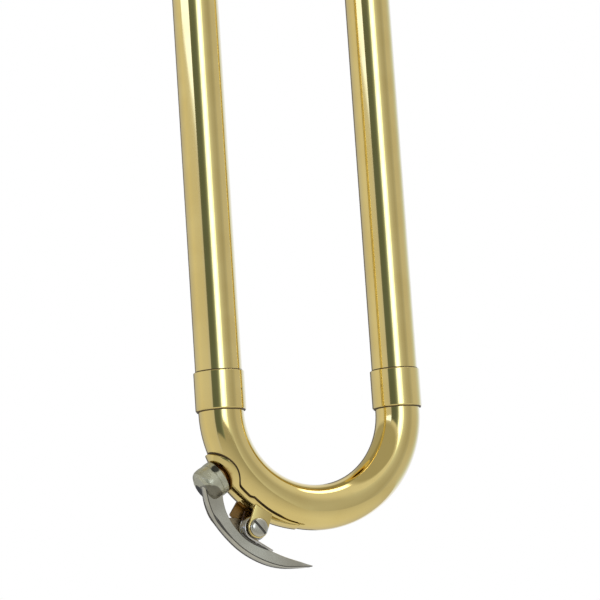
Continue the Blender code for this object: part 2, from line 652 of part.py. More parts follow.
def make_lock_nut(body):
    """Knurled nut that draws the slide's tenon into the neck receiver."""
    bottom = RECEIVER_BOTTOM - NUT_DROP
    top = bottom + NUT_LENGTH
    collar = INNER_TUBE_RADIUS + SOLDER_GAP + PIN_GAP
    shelf = RECEIVER_BOTTOM - TENON_FLANGE - PIN_GAP
    inside = RECEIVER_RADIUS + PIN_GAP
    outline = [(NUT_RADIUS - NUT_BOTTOM_BEVEL, bottom), (NUT_RADIUS, bottom + NUT_EDGE),
               (NUT_RADIUS, top - NUT_EDGE), (NUT_RADIUS - NUT_TOP_BEVEL, top), (inside, top),
               (inside, shelf), (collar, shelf), (collar, bottom)]
    nut = solid("bell_lock_nut", turned(outline), "nickel_silver", body, (0, NECK_Y, 0))
    reach = NUT_RADIUS + NUT_GROOVE_RADIUS - NUT_GROOVE_DEPTH
    for i in range(NUT_GROOVES):
        turn = 2 * math.pi * (i + 0.5) / NUT_GROOVES
        groove = rod(NUT_GROOVE_RADIUS, bottom - NUT_EDGE, top + NUT_EDGE, 8)
        place = (reach * math.cos(turn), NECK_Y + reach * math.sin(turn), 0)
        boolean(nut, helper("cutter_nut_%d" % i, groove, body, place), "DIFFERENCE")


def make_slide_lock(body):
    """Turning ring with a bayonet slot that holds the closed slide by a pin."""
    bottom = BARREL_BOTTOM - LOCK_RING_OVERHANG
    top = bottom + LOCK_RING_LENGTH
    inside = BARREL_RADIUS + PIN_GAP
    outline = [(LOCK_RING_RADIUS, bottom), (LOCK_RING_RADIUS, top - LOCK_RING_EDGE),
               (LOCK_RING_RADIUS - 0.7 * LOCK_RING_EDGE, top), (inside, top), (inside, bottom)]
    place = Vector((SLIDE_SPACING, NECK_Y, 0))
    ring = solid("slide_lock_ring", turned(outline, 36), "nickel_silver", body, place)
    width = LOCK_PIN_RADIUS + LOCK_SLOT_GAP
    pin_z = BARREL_BOTTOM - LOCK_RING_OVERHANG / 2
    entry = [(-width, bottom - width), (width, bottom - width),
             (width, pin_z + width), (-width, pin_z + width)]
    slot = prism(entry, -LOCK_RING_RADIUS - width, -inside + width)
    boolean(ring, helper("cutter_lock_entry", slot, body, place), "DIFFERENCE")
    track_turn = LOCK_SLOT_TURN + math.degrees(width / inside)
    rings = []
    for i in range(9):
        turn = math.radians(-90 - track_turn * i / 8)
        near, far = inside - PIN_GAP, LOCK_RING_RADIUS + width
        rings.append([(r * math.cos(turn), r * math.sin(turn), pin_z + z)
                      for r, z in ((near, -width), (far, -width), (far, width), (near, width))])
    track = helper("cutter_lock_track", lofted(rings), body, place)
    boolean(ring, track, "DIFFERENCE")


def make_mouthpiece(body):
    """Trumpet-type cup mouthpiece, shank down in its receiver."""
    tip = MOUTH_RECEIVER_TOP - SHANK_DEPTH
    top = tip + MOUTHPIECE_LENGTH
    outside = [(SHANK_RADIUS, tip), (SHANK_RADIUS + SHANK_TAPER, MOUTH_RECEIVER_TOP)]
    outside += [(radius, top - depth) for radius, depth in reversed(MOUTHPIECE_SHAPE)]
    inside = [(CUP_RADIUS + CUP_LIP, top), (CUP_RADIUS, top - CUP_LIP),
              (CUP_RADIUS - CUP_LIP, top - 0.45 * CUP_DEPTH),
              (0.55 * CUP_RADIUS, top - 0.82 * CUP_DEPTH), (THROAT_RADIUS, top - 1.1 * CUP_DEPTH),
              (THROAT_RADIUS, top - CUP_DEPTH - BACKBORE_START),
              (SHANK_RADIUS - MOUTHPIECE_TIP_WALL, tip)]
    solid("mouthpiece", turned(outside + inside), "silver_plate", body, (SLIDE_SPACING, NECK_Y, 0))


def make_outer_slide(body):
    """Outer tubes, grip sleeves, brace, lock pin, bow, ferrules and key saddle."""
    places = {"bell_side": 0, "mouthpiece_side": SLIDE_SPACING}
    inner = OUTER_TUBE_RADIUS - OUTER_TUBE_WALL
    sleeve_bore = OUTER_TUBE_RADIUS + SOLDER_GAP
    ferrule_top = FERRULE_BOTTOM + FERRULE_LENGTH
    bow_end = OUTER_BOTTOM - SEAT_GAP
    for side, x in places.items():
        solid("outer_tube_" + side, tube(OUTER_TUBE_RADIUS, inner, OUTER_BOTTOM, OUTER_TOP),
              "lacquered_brass", body, (x, NECK_Y, 0))
        low = OUTER_TOP - GRIP_SLEEVE_LENGTH
        outline = [(sleeve_bore + STOCKING_STEP, low),
                   (GRIP_SLEEVE_RADIUS, low + GRIP_SLEEVE_EDGE),
                   (GRIP_SLEEVE_RADIUS, OUTER_TOP), (sleeve_bore, OUTER_TOP), (sleeve_bore, low)]
        solid("grip_sleeve_" + side, turned(outline), "nickel_silver", body, (x, NECK_Y, 0))
        bow_bore = BOW_TUBE_RADIUS + SOLDER_GAP
        edge = FERRULE_EDGE
        outline = [(FERRULE_RADIUS - edge, FERRULE_BOTTOM), (FERRULE_RADIUS, FERRULE_BOTTOM + edge),
                   (FERRULE_RADIUS, ferrule_top - edge), (FERRULE_RADIUS - edge, ferrule_top),
                   (sleeve_bore, ferrule_top), (sleeve_bore, bow_end + SEAT_GAP / 2),
                   (bow_bore, bow_end + SEAT_GAP / 2), (bow_bore, FERRULE_BOTTOM)]
        solid("bow_ferrule_" + side, turned(outline), "lacquered_brass", body, (x, NECK_Y, 0))
    height = OUTER_TOP - OUTER_BRACE_DROP
    make_brace("outer_brace", body, (0, NECK_Y, height), (SLIDE_SPACING, NECK_Y, height),
               GRIP_SLEEVE_RADIUS, GRIP_SLEEVE_RADIUS)
    pin_z = BARREL_BOTTOM - LOCK_RING_OVERHANG / 2
    solid("slide_lock_pin",
          rod(LOCK_PIN_RADIUS, GRIP_SLEEVE_RADIUS + SOLDER_GAP, LOCK_RING_RADIUS, 12, (0, -1, 0)),
          "nickel_silver", body, (SLIDE_SPACING, NECK_Y, pin_z))

    shape = bent_tube(BOW_RADIUS, BOW_TUBE_RADIUS, BOW_TUBE_RADIUS - BOW_TUBE_WALL,
                      bow_end - BOW_Z, BOW_STEPS)
    bow = solid("slide_bow", shape, "lacquered_brass", body, BOW_CENTRE)
    out = tuple(on_bow(KEY_NIPPLE_ANGLE, 1.0))
    drain = rod(NIPPLE_BORE_RADIUS, BOW_RADIUS + BOW_TUBE_RADIUS / 2,
                BOW_RADIUS + 1.5 * BOW_TUBE_RADIUS, 16, out)
    boolean(bow, helper("cutter_drain", drain, body, BOW_CENTRE), "DIFFERENCE")


def saddle_half_width(angle):
    """Half the saddle plate's width at an angle round the bow."""
    along = BOW_REACH * math.radians(angle - KEY_NIPPLE_ANGLE)
    pad = SADDLE_PAD_WIDTH * math.sqrt(max(1 - (along / SADDLE_PAD_REACH) ** 2, 0))
    heel = KEY_PIVOT_ANGLE + EAR_HEEL
    ends = (KEY_PIVOT_ANGLE - SADDLE_NECK_TURN, KEY_PIVOT_ANGLE - EAR_LEAN, heel,
            heel + 0.8 * (SADDLE_TAIL_ANGLE - heel), SADDLE_TAIL_ANGLE)
    strap = 0.0 if along < 0 else np.interp(
        angle, ends, (SADDLE_WAIST, SADDLE_EAR_WIDTH, SADDLE_EAR_WIDTH,
                      0.95 * SADDLE_EAR_WIDTH, 0.5 * SADDLE_EAR_WIDTH))
    return max(pad, strap, SADDLE_TIP_WIDTH)


def ear_outline(lean, corner=None):
    """Outline of a saddle ear in the slide's plane, round over the pivot."""
    pivot = on_bow(KEY_PIVOT_ANGLE, PIVOT_REACH)
    foot = BOW_RADIUS + math.sqrt(SADDLE_BORE ** 2 - (EAR_GAP / 2) ** 2) + SEAT_SAGITTA
    left = on_bow(KEY_PIVOT_ANGLE - lean, foot)
    right = on_bow(KEY_PIVOT_ANGLE + EAR_HEEL, foot)
    outline = [(left.x, left.z)]
    if corner:
        shoulder = on_bow(KEY_PIVOT_ANGLE - corner[0], BOW_REACH + corner[1])
        outline.append((shoulder.x, shoulder.z))
    for a in np.radians(np.linspace(180, 360, 10) + KEY_PIVOT_ANGLE - 90):
        outline.append((pivot.x + EAR_RADIUS * math.cos(a), pivot.z + EAR_RADIUS * math.sin(a)))
    outline.append((right.x, right.z))
    return outline


def make_saddle(body):
    """Plate that wraps the bow, with two ears for the key's pivot screw."""
    pad_turn = math.degrees(SADDLE_PAD_REACH / BOW_REACH)
    pad_angles = [KEY_NIPPLE_ANGLE - pad_turn * math.cos(math.radians(a)) for a in range(0, 151, 15)]
    rest = np.linspace(pad_angles[-1], SADDLE_TAIL_ANGLE, 13)[1:]
    rings = []
    for angle in pad_angles + list(rest):
        turns = np.linspace(-1, 1, 7) * saddle_half_width(angle) / SADDLE_BACK
        ring = [on_bow(angle, BOW_RADIUS + SADDLE_BACK * math.cos(t), SADDLE_BACK * math.sin(t))
                for t in turns]
        ring += [on_bow(angle, BOW_RADIUS + SADDLE_BORE * math.cos(t), SADDLE_BORE * math.sin(t))
                 for t in reversed(turns)]
        rings.append(ring)
    saddle = solid("water_key_saddle", lofted(rings), "lacquered_brass", body, BOW_CENTRE)

    pivot = on_bow(KEY_PIVOT_ANGLE, PIVOT_REACH)
    near = EAR_GAP / 2
    face = near + EAR_THICKNESS
    ears = (("near", ear_outline(EAR_LEAN), -face, -near),
            ("far", ear_outline(FAR_EAR_LEAN, FAR_EAR_CORNER), near, face))
    for label, outline, low, high in ears:
        ear = helper("join_ear_" + label, prism(outline, low, high), body, BOW_CENTRE)
        boolean(saddle, ear, "UNION")
    hole = rod(SCREW_RADIUS + SOLDER_GAP, -2 * face, 2 * face, 16, (0, 1, 0))
    boolean(saddle, helper("cutter_pivot", hole, body, BOW_CENTRE + pivot), "DIFFERENCE")
    out = tuple(on_bow(KEY_NIPPLE_ANGLE, 1.0))
    drain = rod(NIPPLE_BORE_RADIUS, BOW_RADIUS, BOW_RADIUS + 2 * BOW_TUBE_RADIUS, 16, out)
    boolean(saddle, helper("cutter_saddle_drain", drain, body, BOW_CENTRE), "DIFFERENCE")
    make_nipple(body, out)
    make_pivot_screw(body, pivot, face)


def make_nipple(body, out):
    """Short tube that stands on the plate over the drain hole."""
    base = BOW_RADIUS + SADDLE_BACK
    top = base + NIPPLE_HEIGHT
    low = BOW_RADIUS + math.sqrt(SADDLE_BACK ** 2 - NIPPLE_BASE_RADIUS ** 2)
    outline = [(NIPPLE_BASE_RADIUS, low), (NIPPLE_BASE_RADIUS, base - 0.2 * NIPPLE_HEIGHT),
               (NIPPLE_TOP_RADIUS + 0.2 * NIPPLE_HEIGHT, base + 0.4 * NIPPLE_HEIGHT),
               (NIPPLE_TOP_RADIUS, top), (NIPPLE_BORE_RADIUS, top), (NIPPLE_BORE_RADIUS, low)]
    nipple = solid("water_key_nipple", turned(outline, 20, out), "lacquered_brass",
                   body, BOW_CENTRE)
    seat = SADDLE_BACK + SOLDER_GAP
    reach_turn = 1.5 * math.degrees(NIPPLE_BASE_RADIUS / BOW_RADIUS)
    core = [[on_bow(angle, BOW_RADIUS + seat * math.cos(t), seat * math.sin(t))
             for t in np.radians(np.arange(0, 360, 15))]
            for angle in KEY_NIPPLE_ANGLE + np.linspace(-reach_turn, reach_turn, 7)]
    boolean(nipple, helper("cutter_nipple_seat", lofted(core), body, BOW_CENTRE), "DIFFERENCE")


def make_pivot_screw(body, pivot, face):
    """Slotted screw through both ears, its head on the side away from the bell."""
    head = -face - PIN_GAP
    top = head - SCREW_HEAD_HEIGHT
    edge = head - 0.6 * SCREW_HEAD_HEIGHT
    outline = [(0, top), (0.85 * SCREW_HEAD_RADIUS, top), (SCREW_HEAD_RADIUS, edge),
               (SCREW_HEAD_RADIUS, head), (SCREW_RADIUS, head), (SCREW_RADIUS, face), (0, face)]
    screw = solid("pivot_screw", turned(outline, 20, (0, 1, 0)), "nickel_silver", body,
                  BOW_CENTRE + pivot)
    half = SCREW_SLOT_WIDTH / 2
    reach = 1.5 * SCREW_HEAD_RADIUS
    slot = prism([(-reach, -half), (reach, -half), (reach, half), (-reach, half)],
                 top - SCREW_HEAD_HEIGHT, head - 0.5 * SCREW_HEAD_HEIGHT)
    turn = Matrix.Rotation(math.radians(SCREW_SLOT_TURN), 3, "Y")
    bmesh.ops.rotate(slot, verts=slot.verts, matrix=turn)
    boolean(screw, helper("cutter_slot", slot, body, BOW_CENTRE + pivot), "DIFFERENCE")


def key_section(angle, low, high, half):
    """Section of the lever across its length, eased at its corners."""
    ease = 0.15 * (high - low)
    round_off = 0.15 * (high - low)
    side = min(round_off, 0.5 * half)
    inset = min(ease, 0.4 * half)
    points = [(-half, low + ease), (-half + inset, low), (half - inset, low), (half, low + ease),
              (half, high - round_off), (half - side, high), (-half + side, high),
              (-half, high - round_off)]
    return [on_bow(angle, BOW_REACH + reach, y) for y, reach in points]


def make_water_key(body):
    """Lever with its cup, knuckle and thumb touch, its cork and its spring."""
    cork_face = BOW_RADIUS + SADDLE_BACK + NIPPLE_HEIGHT + SEAT_GAP
    rim = BOW_RADIUS + SADDLE_BACK + KEY_RIM_LIFT
    dome = rim + KEY_CUP_HEIGHT
    floor = dome - KEY_CUP_FLOOR
    crown = dome - BOW_REACH
    rows = [(KEY_NIPPLE_ANGLE + turn, crown + low, crown + high, half)
            for turn, low, high, half in LEVER_START]
    rows += [(angle, KEY_PIVOT_HEIGHT + low, KEY_PIVOT_HEIGHT + high, half)
             for angle, low, high, half in LEVER_SPINE]
    rings = [key_section(*row) for row in smooth_rows(rows, 2)]
    lever = solid("water_key_lever", lofted(rings), "nickel_silver", body, BOW_CENTRE)

    out = tuple(on_bow(KEY_NIPPLE_ANGLE, 1.0))
    edge = KEY_CUP_RADIUS
    outline = [(0, dome), (0.5 * edge, dome - 0.02 * KEY_CUP_HEIGHT),
               (0.8 * edge, dome - 0.09 * KEY_CUP_HEIGHT),
               (0.94 * edge, dome - 0.20 * KEY_CUP_HEIGHT),
               (edge, dome - 0.36 * KEY_CUP_HEIGHT), (edge, rim), (0, rim)]
    cup = helper("join_cup", turned(outline, TUBE_SIDES, out), body, BOW_CENTRE)
    boolean(lever, cup, "UNION")
    half = EAR_GAP / 2 - PIN_GAP
    lug_ring = KNUCKLE_RADIUS + LUG_WALL
    hinge = on_bow(KEY_PIVOT_ANGLE, PIVOT_REACH)
    outline = []
    for a in np.radians(np.linspace(0, 180, 10) + KEY_PIVOT_ANGLE - 90):
        outline.append((hinge.x + lug_ring * math.cos(a), hinge.z + lug_ring * math.sin(a)))
    for side in (-LUG_TURN, LUG_TURN):
        foot = on_bow(KEY_PIVOT_ANGLE + side, PIVOT_REACH + LUG_RISE)
        outline.append((foot.x, foot.z))
    lug = helper("join_lug", prism(outline, half - LUG_WIDTH, half), body, BOW_CENTRE)
    boolean(lever, lug, "UNION")
    barrel = rod(KNUCKLE_RADIUS, -half, half - LUG_STEP, 20, (0, 1, 0))
    boolean(lever, helper("join_knuckle", barrel, body, BOW_CENTRE + hinge), "UNION")
    bore = rod(SCREW_RADIUS + PIN_GAP, -2 * half, 2 * half, 20, (0, 1, 0))
    boolean(lever, helper("cutter_knuckle", bore, body, BOW_CENTRE + hinge), "DIFFERENCE")
    cavity = rod(edge - KEY_CUP_WALL, BOW_REACH, floor, TUBE_SIDES, out)
    boolean(lever, helper("cutter_cup", cavity, body, BOW_CENTRE), "DIFFERENCE")

    cork = rod(edge - KEY_CUP_WALL - SOLDER_GAP, cork_face, floor - SEAT_GAP, TUBE_SIDES, out)
    solid("water_key_cork", cork, "cork", body, BOW_CENTRE)
    make_spring(body, hinge)


def tangent_turn(target, radius, first):
    """Angle on a circle where a straight leg from or to a target leaves it."""
    distance = math.hypot(*target)
    base = math.atan2(target[1], target[0])
    swing = math.acos(radius / distance)
    return base + swing if first else base - swing


def make_spring(body, hinge):
    """Torsion spring round the knuckle, a leg on the saddle and one on the lever."""
    stand_off = SPRING_WIRE_RADIUS + PIN_GAP
    start_y = EAR_GAP / 2 - PIN_GAP - LUG_WIDTH - stand_off
    foot_reach = BOW_RADIUS + math.sqrt(SADDLE_BACK ** 2 - start_y ** 2) + stand_off
    foot = on_bow(KEY_PIVOT_ANGLE - SPRING_FOOT_TURN, foot_reach) - hinge
    touch = on_bow(KEY_PIVOT_ANGLE + SPRING_TAIL_TURN,
                   PIVOT_REACH + SPRING_TAIL_RISE - stand_off) - hinge
    first = tangent_turn((foot.x, foot.z), SPRING_COIL_RADIUS, True) % (2 * math.pi)
    last = tangent_turn((touch.x, touch.z), SPRING_COIL_RADIUS, False) % (2 * math.pi)
    if last < first:
        last += 2 * math.pi
    sweep = last - first + 2 * math.pi * SPRING_TURNS
    count = round(SPRING_POINTS * sweep / (2 * math.pi))
    end_y = start_y - SPRING_PITCH * sweep / (2 * math.pi)
    coil = []
    for i in range(count + 1):
        share = i / count
        a = first + sweep * share
        coil.append(Vector((SPRING_COIL_RADIUS * math.cos(a), start_y + (end_y - start_y) * share,
                            SPRING_COIL_RADIUS * math.sin(a))))
    leg_in = [Vector((foot.x, start_y, foot.z)).lerp(coil[0], t) for t in (0, 0.5)]
    leg_out = [coil[-1].lerp(Vector((touch.x, end_y, touch.z)), t) for t in (0.33, 0.66, 1)]
    points = leg_in + coil + leg_out
    turn_points = round(count * 2 * math.pi / sweep)
    gap = min((a - b).length for i, a in enumerate(points) for b in points[i + turn_points // 2:])
    print("least gap of the spring wire to itself: %.2f mm" % (1000 * (gap - 2 * SPRING_WIRE_RADIUS)))
    solid("water_key_spring", swept_wire(points, SPRING_WIRE_RADIUS, 8), "steel_spring",
          body, BOW_CENTRE + hinge, 60)


def build():
    """Make every body and hang its pieces on it."""
    clear_scene()
    bell_section = body_empty("bell_section", (0, 0, 0))
    tuning = body_empty("tuning_slide", (0, NECK_Y / 2, TUNING_BOW_Z), bell_section)
    inner = body_empty("inner_slide", (0, NECK_Y, RECEIVER_BOTTOM), bell_section)
    outer = body_empty("outer_slide", tuple(BOW_CENTRE), inner)
    nut = body_empty("lock_nut", (0, NECK_Y, RECEIVER_BOTTOM), inner)
    lock = body_empty("slide_lock", (SLIDE_SPACING, NECK_Y, BARREL_BOTTOM), inner)
    mouthpiece = body_empty("mouthpiece_body", (SLIDE_SPACING, NECK_Y, MOUTH_RECEIVER_TOP), inner)
    pivot = on_bow(KEY_PIVOT_ANGLE, PIVOT_REACH)
    key = body_empty("water_key", tuple(BOW_CENTRE + pivot), outer)
    make_bell_section(bell_section)
    make_tuning_slide(tuning)
    make_inner_slide(inner)
    make_lock_nut(nut)
    make_slide_lock(lock)
    make_mouthpiece(mouthpiece)
    make_outer_slide(outer)
    make_saddle(outer)
    make_water_key(key)


build()
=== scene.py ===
# Soprano trombone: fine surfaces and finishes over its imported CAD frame
import math
import bmesh
import bpy
import numpy as np
from mathutils import Matrix, Vector


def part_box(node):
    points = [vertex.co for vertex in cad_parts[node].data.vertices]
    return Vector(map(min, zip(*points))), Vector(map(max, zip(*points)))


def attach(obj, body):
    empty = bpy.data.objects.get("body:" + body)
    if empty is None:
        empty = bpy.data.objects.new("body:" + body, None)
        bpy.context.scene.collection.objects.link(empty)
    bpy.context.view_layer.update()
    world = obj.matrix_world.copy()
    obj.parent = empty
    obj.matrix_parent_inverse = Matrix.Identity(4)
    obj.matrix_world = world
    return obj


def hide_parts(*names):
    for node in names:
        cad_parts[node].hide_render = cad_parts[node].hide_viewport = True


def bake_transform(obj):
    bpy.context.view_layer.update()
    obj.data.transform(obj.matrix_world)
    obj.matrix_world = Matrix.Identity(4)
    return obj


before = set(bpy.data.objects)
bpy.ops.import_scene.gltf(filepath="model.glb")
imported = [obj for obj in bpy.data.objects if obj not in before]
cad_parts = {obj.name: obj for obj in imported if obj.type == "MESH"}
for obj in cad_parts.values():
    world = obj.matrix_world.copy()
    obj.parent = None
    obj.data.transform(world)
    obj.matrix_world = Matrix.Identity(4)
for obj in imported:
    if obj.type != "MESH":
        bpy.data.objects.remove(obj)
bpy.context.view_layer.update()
scene = bpy.context.scene


# Low corner, high corner and middle of a CAD node's box
def span(node):
    low, high = (np.array(corner, dtype=float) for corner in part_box(node))
    return low, high, (low + high) / 2


# Camera, fitted to the photograph's tube edges
camera = {
    "place": (-0.27743, -0.75622, -0.28950),
    "azimuth": -24.1,      # degrees from -Y towards +X
    "elevation": -8.92,
    "roll": -3.91,
    "lens": 156.0,         # millimetres on a 36 mm sensor
    "farthest": 40,
}


# Axes from the angles: back points from the object to the camera, right is turned by the roll
def makeCamera(values):
    az, el, roll = (math.radians(values[k]) for k in ("azimuth", "elevation", "roll"))
    back = Vector((math.sin(az) * math.cos(el), -math.cos(az) * math.cos(el), math.sin(el)))
    level = Vector((math.cos(az), math.sin(az), 0))
    right = level * math.cos(roll) + back.cross(level) * math.sin(roll)
    turn = Matrix((right, back.cross(right), back)).transposed()
    data = bpy.data.cameras.new("photoCamera")
    data.lens = values["lens"]
    data.clip_end = values["farthest"]
    item = bpy.data.objects.new("photoCamera", data)
    item.matrix_world = Matrix.Translation(values["place"]) @ turn.to_4x4()
    scene.collection.objects.link(item)
    scene.camera = item


makeCamera(camera)
scene.view_settings.view_transform = "Standard"

# Studio: what the metal mirrors, as brightness by direction. Turns are degrees right of the
# camera, heights are sines of the elevation, and an edge is (place, half its blur).
studio = {
    "white": 1.0,          # what the camera sees behind the object
    "round": [             # (turn, red, green, blue)
        (-180, .10, .10, .11), (-166, .10, .10, .11), (-151, .20, .20, .22), (-142, .52, .53, .56),
        (-123, .60, .61, .63), (-92, .71, .70, .66), (-68, .66, .66, .66), (-47, .64, .64, .64),
        (-35, .58, .60, .70), (-32, .135, .16, .15), (-20, .120, .155, .15), (-8, .14, .17, .17),
        (-1, .24, .30, .28), (3, .50, .62, .70), (6, 1.1, 1.3, 1.7), (10, 2.2, 2.4, 3.0),
        (18, 3.0, 3.2, 3.8), (26, 2.1, 2.3, 2.6), (31, .85, 1.0, 1.1), (36, .66, .70, .74),
        (48, .50, .51, .52), (64, .43, .43, .42), (74, .47, .48, .50), (82, .57, .57, .57),
        (106, .585, .59, .62), (123, .62, .70, .82), (140, .80, .95, 1.4), (155, .95, 1.05, 1.5),
        (172, .95, 1.0, 1.1), (180, .60, .61, .62)],
    "edges": [             # (turn, height where the table ends and the ceiling begins, blur)
        (-180, -.38, .55, .25), (-36, -.38, .55, .25), (-32, -.13, .29, .02), (-1, -.13, .29, .02),
        (2, .05, .29, .02), (37, .05, .29, .02), (42, -.38, .55, .25), (180, -.38, .55, .25)],
    "table": [(-.85, .72, .72, .70), (-.38, .56, .56, .55), (-.20, .46, .46, .44),
              (-.06, .38, .38, .36)],
    "tableBlur": .02,
    "ceiling": (.72, .73, .74),
    "leftFoot": ((-77, .262), (-34, .222)),  # slanted foot of the bright box on the left
    "layers": [            # one over the other, each between its edges
        {"colour": (1.35, 1.60, 2.50), "aboveFoot": ((0, .005), None),
         "height": (None, (.32, .01)), "turn": ((-77, 1.44), (-34, .72))},  # box on the left
        {"colour": (.40, .39, .34), "height": ((.35, .05), None),
         "across": (None, (.04, .09))},      # darker ceiling left of the long box
        {"colour": (3.2, 3.2, 3.2), "height": ((.525, .075), None),
         "slant": ((-.33, .03), (-.05, .03)), "across": ((.10, .05), (.80, .08))},  # long box
        {"colour": (.30, .28, .20), "height": ((.525, .075), None),
         "slant": ((0, .03), (.50, .15))},   # dark gap just behind the long box
    ],
    "lowest": .05,         # height below which the slopes stay the same
}


# Shader node with its inputs set or linked
def addNode(tree, kind, inputs=None, **settings):
    item = tree.nodes.new("ShaderNode" + kind)
    for key, value in settings.items():
        setattr(item, key, value)
    for key, value in (inputs or {}).items():
        if isinstance(value, bpy.types.NodeSocket):
            tree.links.new(value, item.inputs[key])
        else:
            item.inputs[key].default_value = value
    return item


def calc(tree, operation, *values):
    return addNode(tree, "Math", dict(enumerate(values)), operation=operation).outputs[0]


# Smooth step from 0 at low to 1 at high
def stepUp(tree, value, low, high):
    item = addNode(tree, "MapRange", {"Value": value, "From Min": low, "From Max": high},
                   interpolation_type="SMOOTHSTEP")
    return item.outputs["Result"]


# Share that is 1 between two soft edges and 0 beyond them
def window(tree, value, low, high):
    share = 1
    if low:
        share = stepUp(tree, value, low[0] - low[1], low[0] + low[1])
    if high:
        past = stepUp(tree, value, high[0] - high[1], high[0] + high[1])
        share = calc(tree, "MULTIPLY", share, calc(tree, "SUBTRACT", 1, past))
    return share


def blendColour(tree, share, first, second):
    item = addNode(tree, "Mix", {0: share, 6: first, 7: second}, data_type="RGBA")
    return item.outputs[2]


def rampOf(tree, value, stops):
    item = addNode(tree, "ValToRGB", {"Fac": value})
    marks = item.color_ramp.elements
    while len(marks) < len(stops):
        marks.new(0.5)
    for mark, (place, *colour) in zip(marks, stops):
        mark.position = place
        mark.color = (*colour, 1)
    return item.outputs["Color"]


# Measures of a direction: its turn and height, and its slopes y/z (slant) and x/z (across)
def directionsOf(tree, values):
    ray = addNode(tree, "TexCoord").outputs["Generated"]
    az = math.radians(camera["azimuth"])
    side, front = (math.cos(az), math.sin(az), 0), (math.sin(az), -math.cos(az), 0)
    right, towards = (addNode(tree, "VectorMath", {0: ray, 1: way},
                              operation="DOT_PRODUCT").outputs["Value"] for way in (side, front))
    split = addNode(tree, "SeparateXYZ", {0: ray}).outputs
    turn = calc(tree, "MULTIPLY", calc(tree, "ARCTAN2", right, towards), 180 / math.pi)
    upward = calc(tree, "MAXIMUM", split["Z"], values["lowest"])
    (first, low), (last, high) = values["leftFoot"]
    slope = (high - low) / (last - first)
    foot = calc(tree, "MULTIPLY_ADD", turn, slope, low - slope * first)
    return {"turn": turn, "height": split["Z"], "slant": calc(tree, "DIVIDE", split["Y"], upward),
            "across": calc(tree, "DIVIDE", split["X"], upward),
            "aboveFoot": calc(tree, "SUBTRACT", split["Z"], foot)}


def makeStudio(values):
    world = bpy.data.worlds.new("studio")
    scene.world = world
    world.use_nodes = True
    tree = world.node_tree
    tree.nodes.clear()
    ways = directionsOf(tree, values)
    height = ways["height"]
    around = calc(tree, "MULTIPLY_ADD", ways["turn"], 1 / 360, 0.5)
    colour = rampOf(tree, around, [((a + 180) / 360, *c) for a, *c in values["round"]])
    edges = rampOf(tree, around, [((a + 180) / 360, low + 0.5, high, blur)
                                  for a, low, high, blur in values["edges"]])
    edges = addNode(tree, "SeparateColor", {0: edges}).outputs
    up = stepUp(tree, height, calc(tree, "SUBTRACT", edges["Green"], edges["Blue"]),
                calc(tree, "ADD", edges["Green"], edges["Blue"]))
    colour = blendColour(tree, up, colour, (*values["ceiling"], 1))
    for layer in values["layers"]:
        share = 1
        for name in [n for n in layer if n in ways]:
            share = calc(tree, "MULTIPLY", share, window(tree, ways[name], *layer[name]))
        colour = blendColour(tree, share, colour, (*layer["colour"], 1))
    edge, blur = calc(tree, "SUBTRACT", edges["Red"], 0.5), values["tableBlur"]
    above = stepUp(tree, height, calc(tree, "SUBTRACT", edge, blur), calc(tree, "ADD", edge, blur))
    table = rampOf(tree, calc(tree, "ADD", height, 1), [(h + 1, *c) for h, *c in values["table"]])
    colour = blendColour(tree, above, table, colour)
    seen = addNode(tree, "LightPath").outputs["Is Camera Ray"]
    colour = blendColour(tree, seen, colour, (values["white"],) * 3 + (1,))
    shade = addNode(tree, "Background", {"Color": colour, "Strength": 1.0})
    tree.links.new(shade.outputs[0], addNode(tree, "OutputWorld").inputs["Surface"])


makeStudio(studio)
print("camera and studio made")

